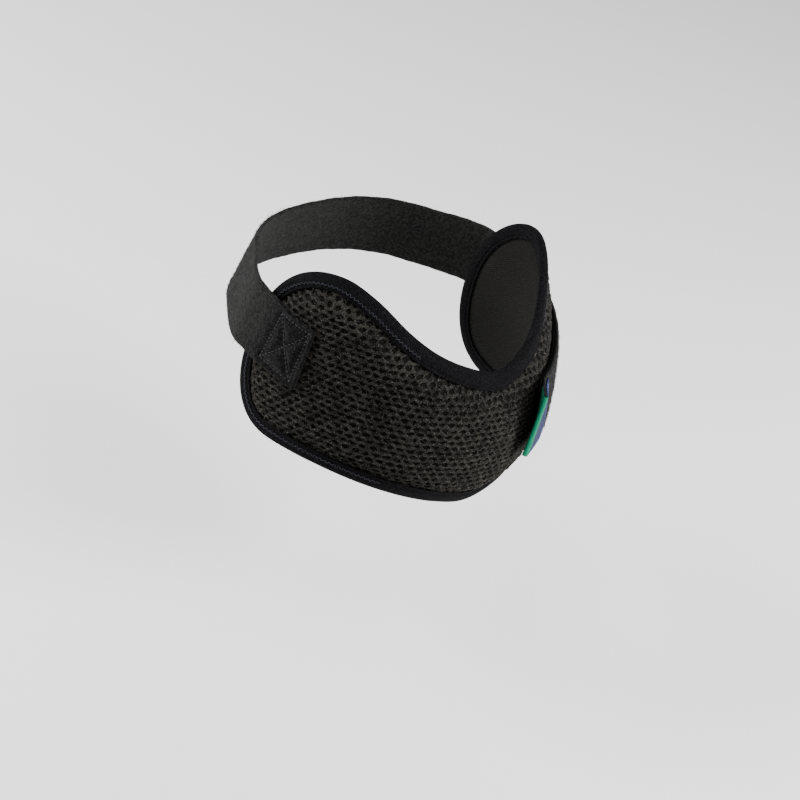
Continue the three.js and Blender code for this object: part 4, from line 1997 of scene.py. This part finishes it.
@dataclass
class Studio:
    """A pale floor, soft lights, and the camera at the photograph's angle."""

    camera_turn: float = -55.0
    camera_rise: float = 30.0
    camera_roll: float = 20.0
    distance: float = 1.1
    target_height: float = -0.033
    target_pixel: tuple[float, float] = (357.15, 392.92)
    focal_pixels: float = 2967.8
    image_pixels: float = 800.0
    sensor: float = 36.0
    floor_drop: float = 0.06
    floor_size: float = 8.0
    sky_strength: float = 0.34
    lamps: tuple[Lamp, ...] = (
        Lamp("left_light", turn=-135.0, rise=25.0, distance=0.9, size=0.5, power=17.0),
        Lamp("right_light", turn=32.0, rise=25.0, distance=0.9, size=0.5, power=17.0),
        Lamp("top_light", turn=-60.0, rise=75.0, distance=1.1, size=0.8, power=5.0),
    )

    def floor(self) -> None:
        """Lays the floor under the strap."""
        low = CAD_BOX[0][2] - self.floor_drop
        half = self.floor_size / 2
        corners = np.array([[-half, -half], [half, -half], [half, half], [-half, half]])
        mesh = face_mesh("floor", raised(corners, low))
        mesh.materials.append(FloorPaint().make())
        floor = bpy.data.objects.new("floor", mesh)
        bpy.context.scene.collection.objects.link(floor)

    def camera(self) -> None:
        """Places the camera and turns it so that the target lies at its pixel."""
        turn, roll = math.radians(self.camera_turn), math.radians(self.camera_roll)
        back = towards(self.camera_turn, self.camera_rise)
        level = Vector((math.cos(turn), math.sin(turn), 0.0))
        upright = back.cross(level)
        right = level * math.cos(roll) + upright * math.sin(roll)
        up = upright * math.cos(roll) - level * math.sin(roll)
        centre = self.image_pixels / 2
        aside = right * (centre - self.target_pixel[0]) - up * (centre - self.target_pixel[1])
        ahead = (-back * self.focal_pixels + aside).normalized()
        right = ahead.cross(up).normalized()
        up = right.cross(ahead)
        data = bpy.data.cameras.new("camera")
        data.sensor_width = self.sensor
        data.lens = self.focal_pixels / self.image_pixels * self.sensor
        camera = bpy.data.objects.new("camera", data)
        place = back * self.distance + Vector((0.0, 0.0, self.target_height))
        facing = Matrix((right, up, -ahead)).transposed().to_4x4()
        camera.matrix_world = Matrix.Translation(place) @ facing
        bpy.context.scene.collection.objects.link(camera)
        bpy.context.scene.camera = camera

    def sky(self) -> None:
        """Fills the shadows with an even pale light."""
        world = bpy.data.worlds.new("sky")
        world.use_nodes = True
        background = world.node_tree.nodes["Background"]
        background.inputs["Color"].default_value = (1.0, 1.0, 1.0, 1.0)
        background.inputs["Strength"].default_value = self.sky_strength
        bpy.context.scene.world = world

    def build(self) -> None:
        """Sets the whole stage."""
        self.floor()
        self.camera()
        for lamp in self.lamps:
            lamp.build()
        self.sky()


def main() -> None:
    """Builds the pieces in order, then the stage."""
    logging.basicConfig(level=logging.INFO, format="%(name)s: %(message)s")
    room = SewingRoom()
    loop = Loop()
    pad = PadShape(loop)
    strap = StrapShape(pad)
    PaddedFront(pad, room).build()
    BoundEdge(pad, room).build()
    HookPatch(strap, room).build()
    ClosingStrap(strap, room).build()
    FoldedLabel(strap, room).build()
    Studio().build()


if __name__ == "__main__":
    main()
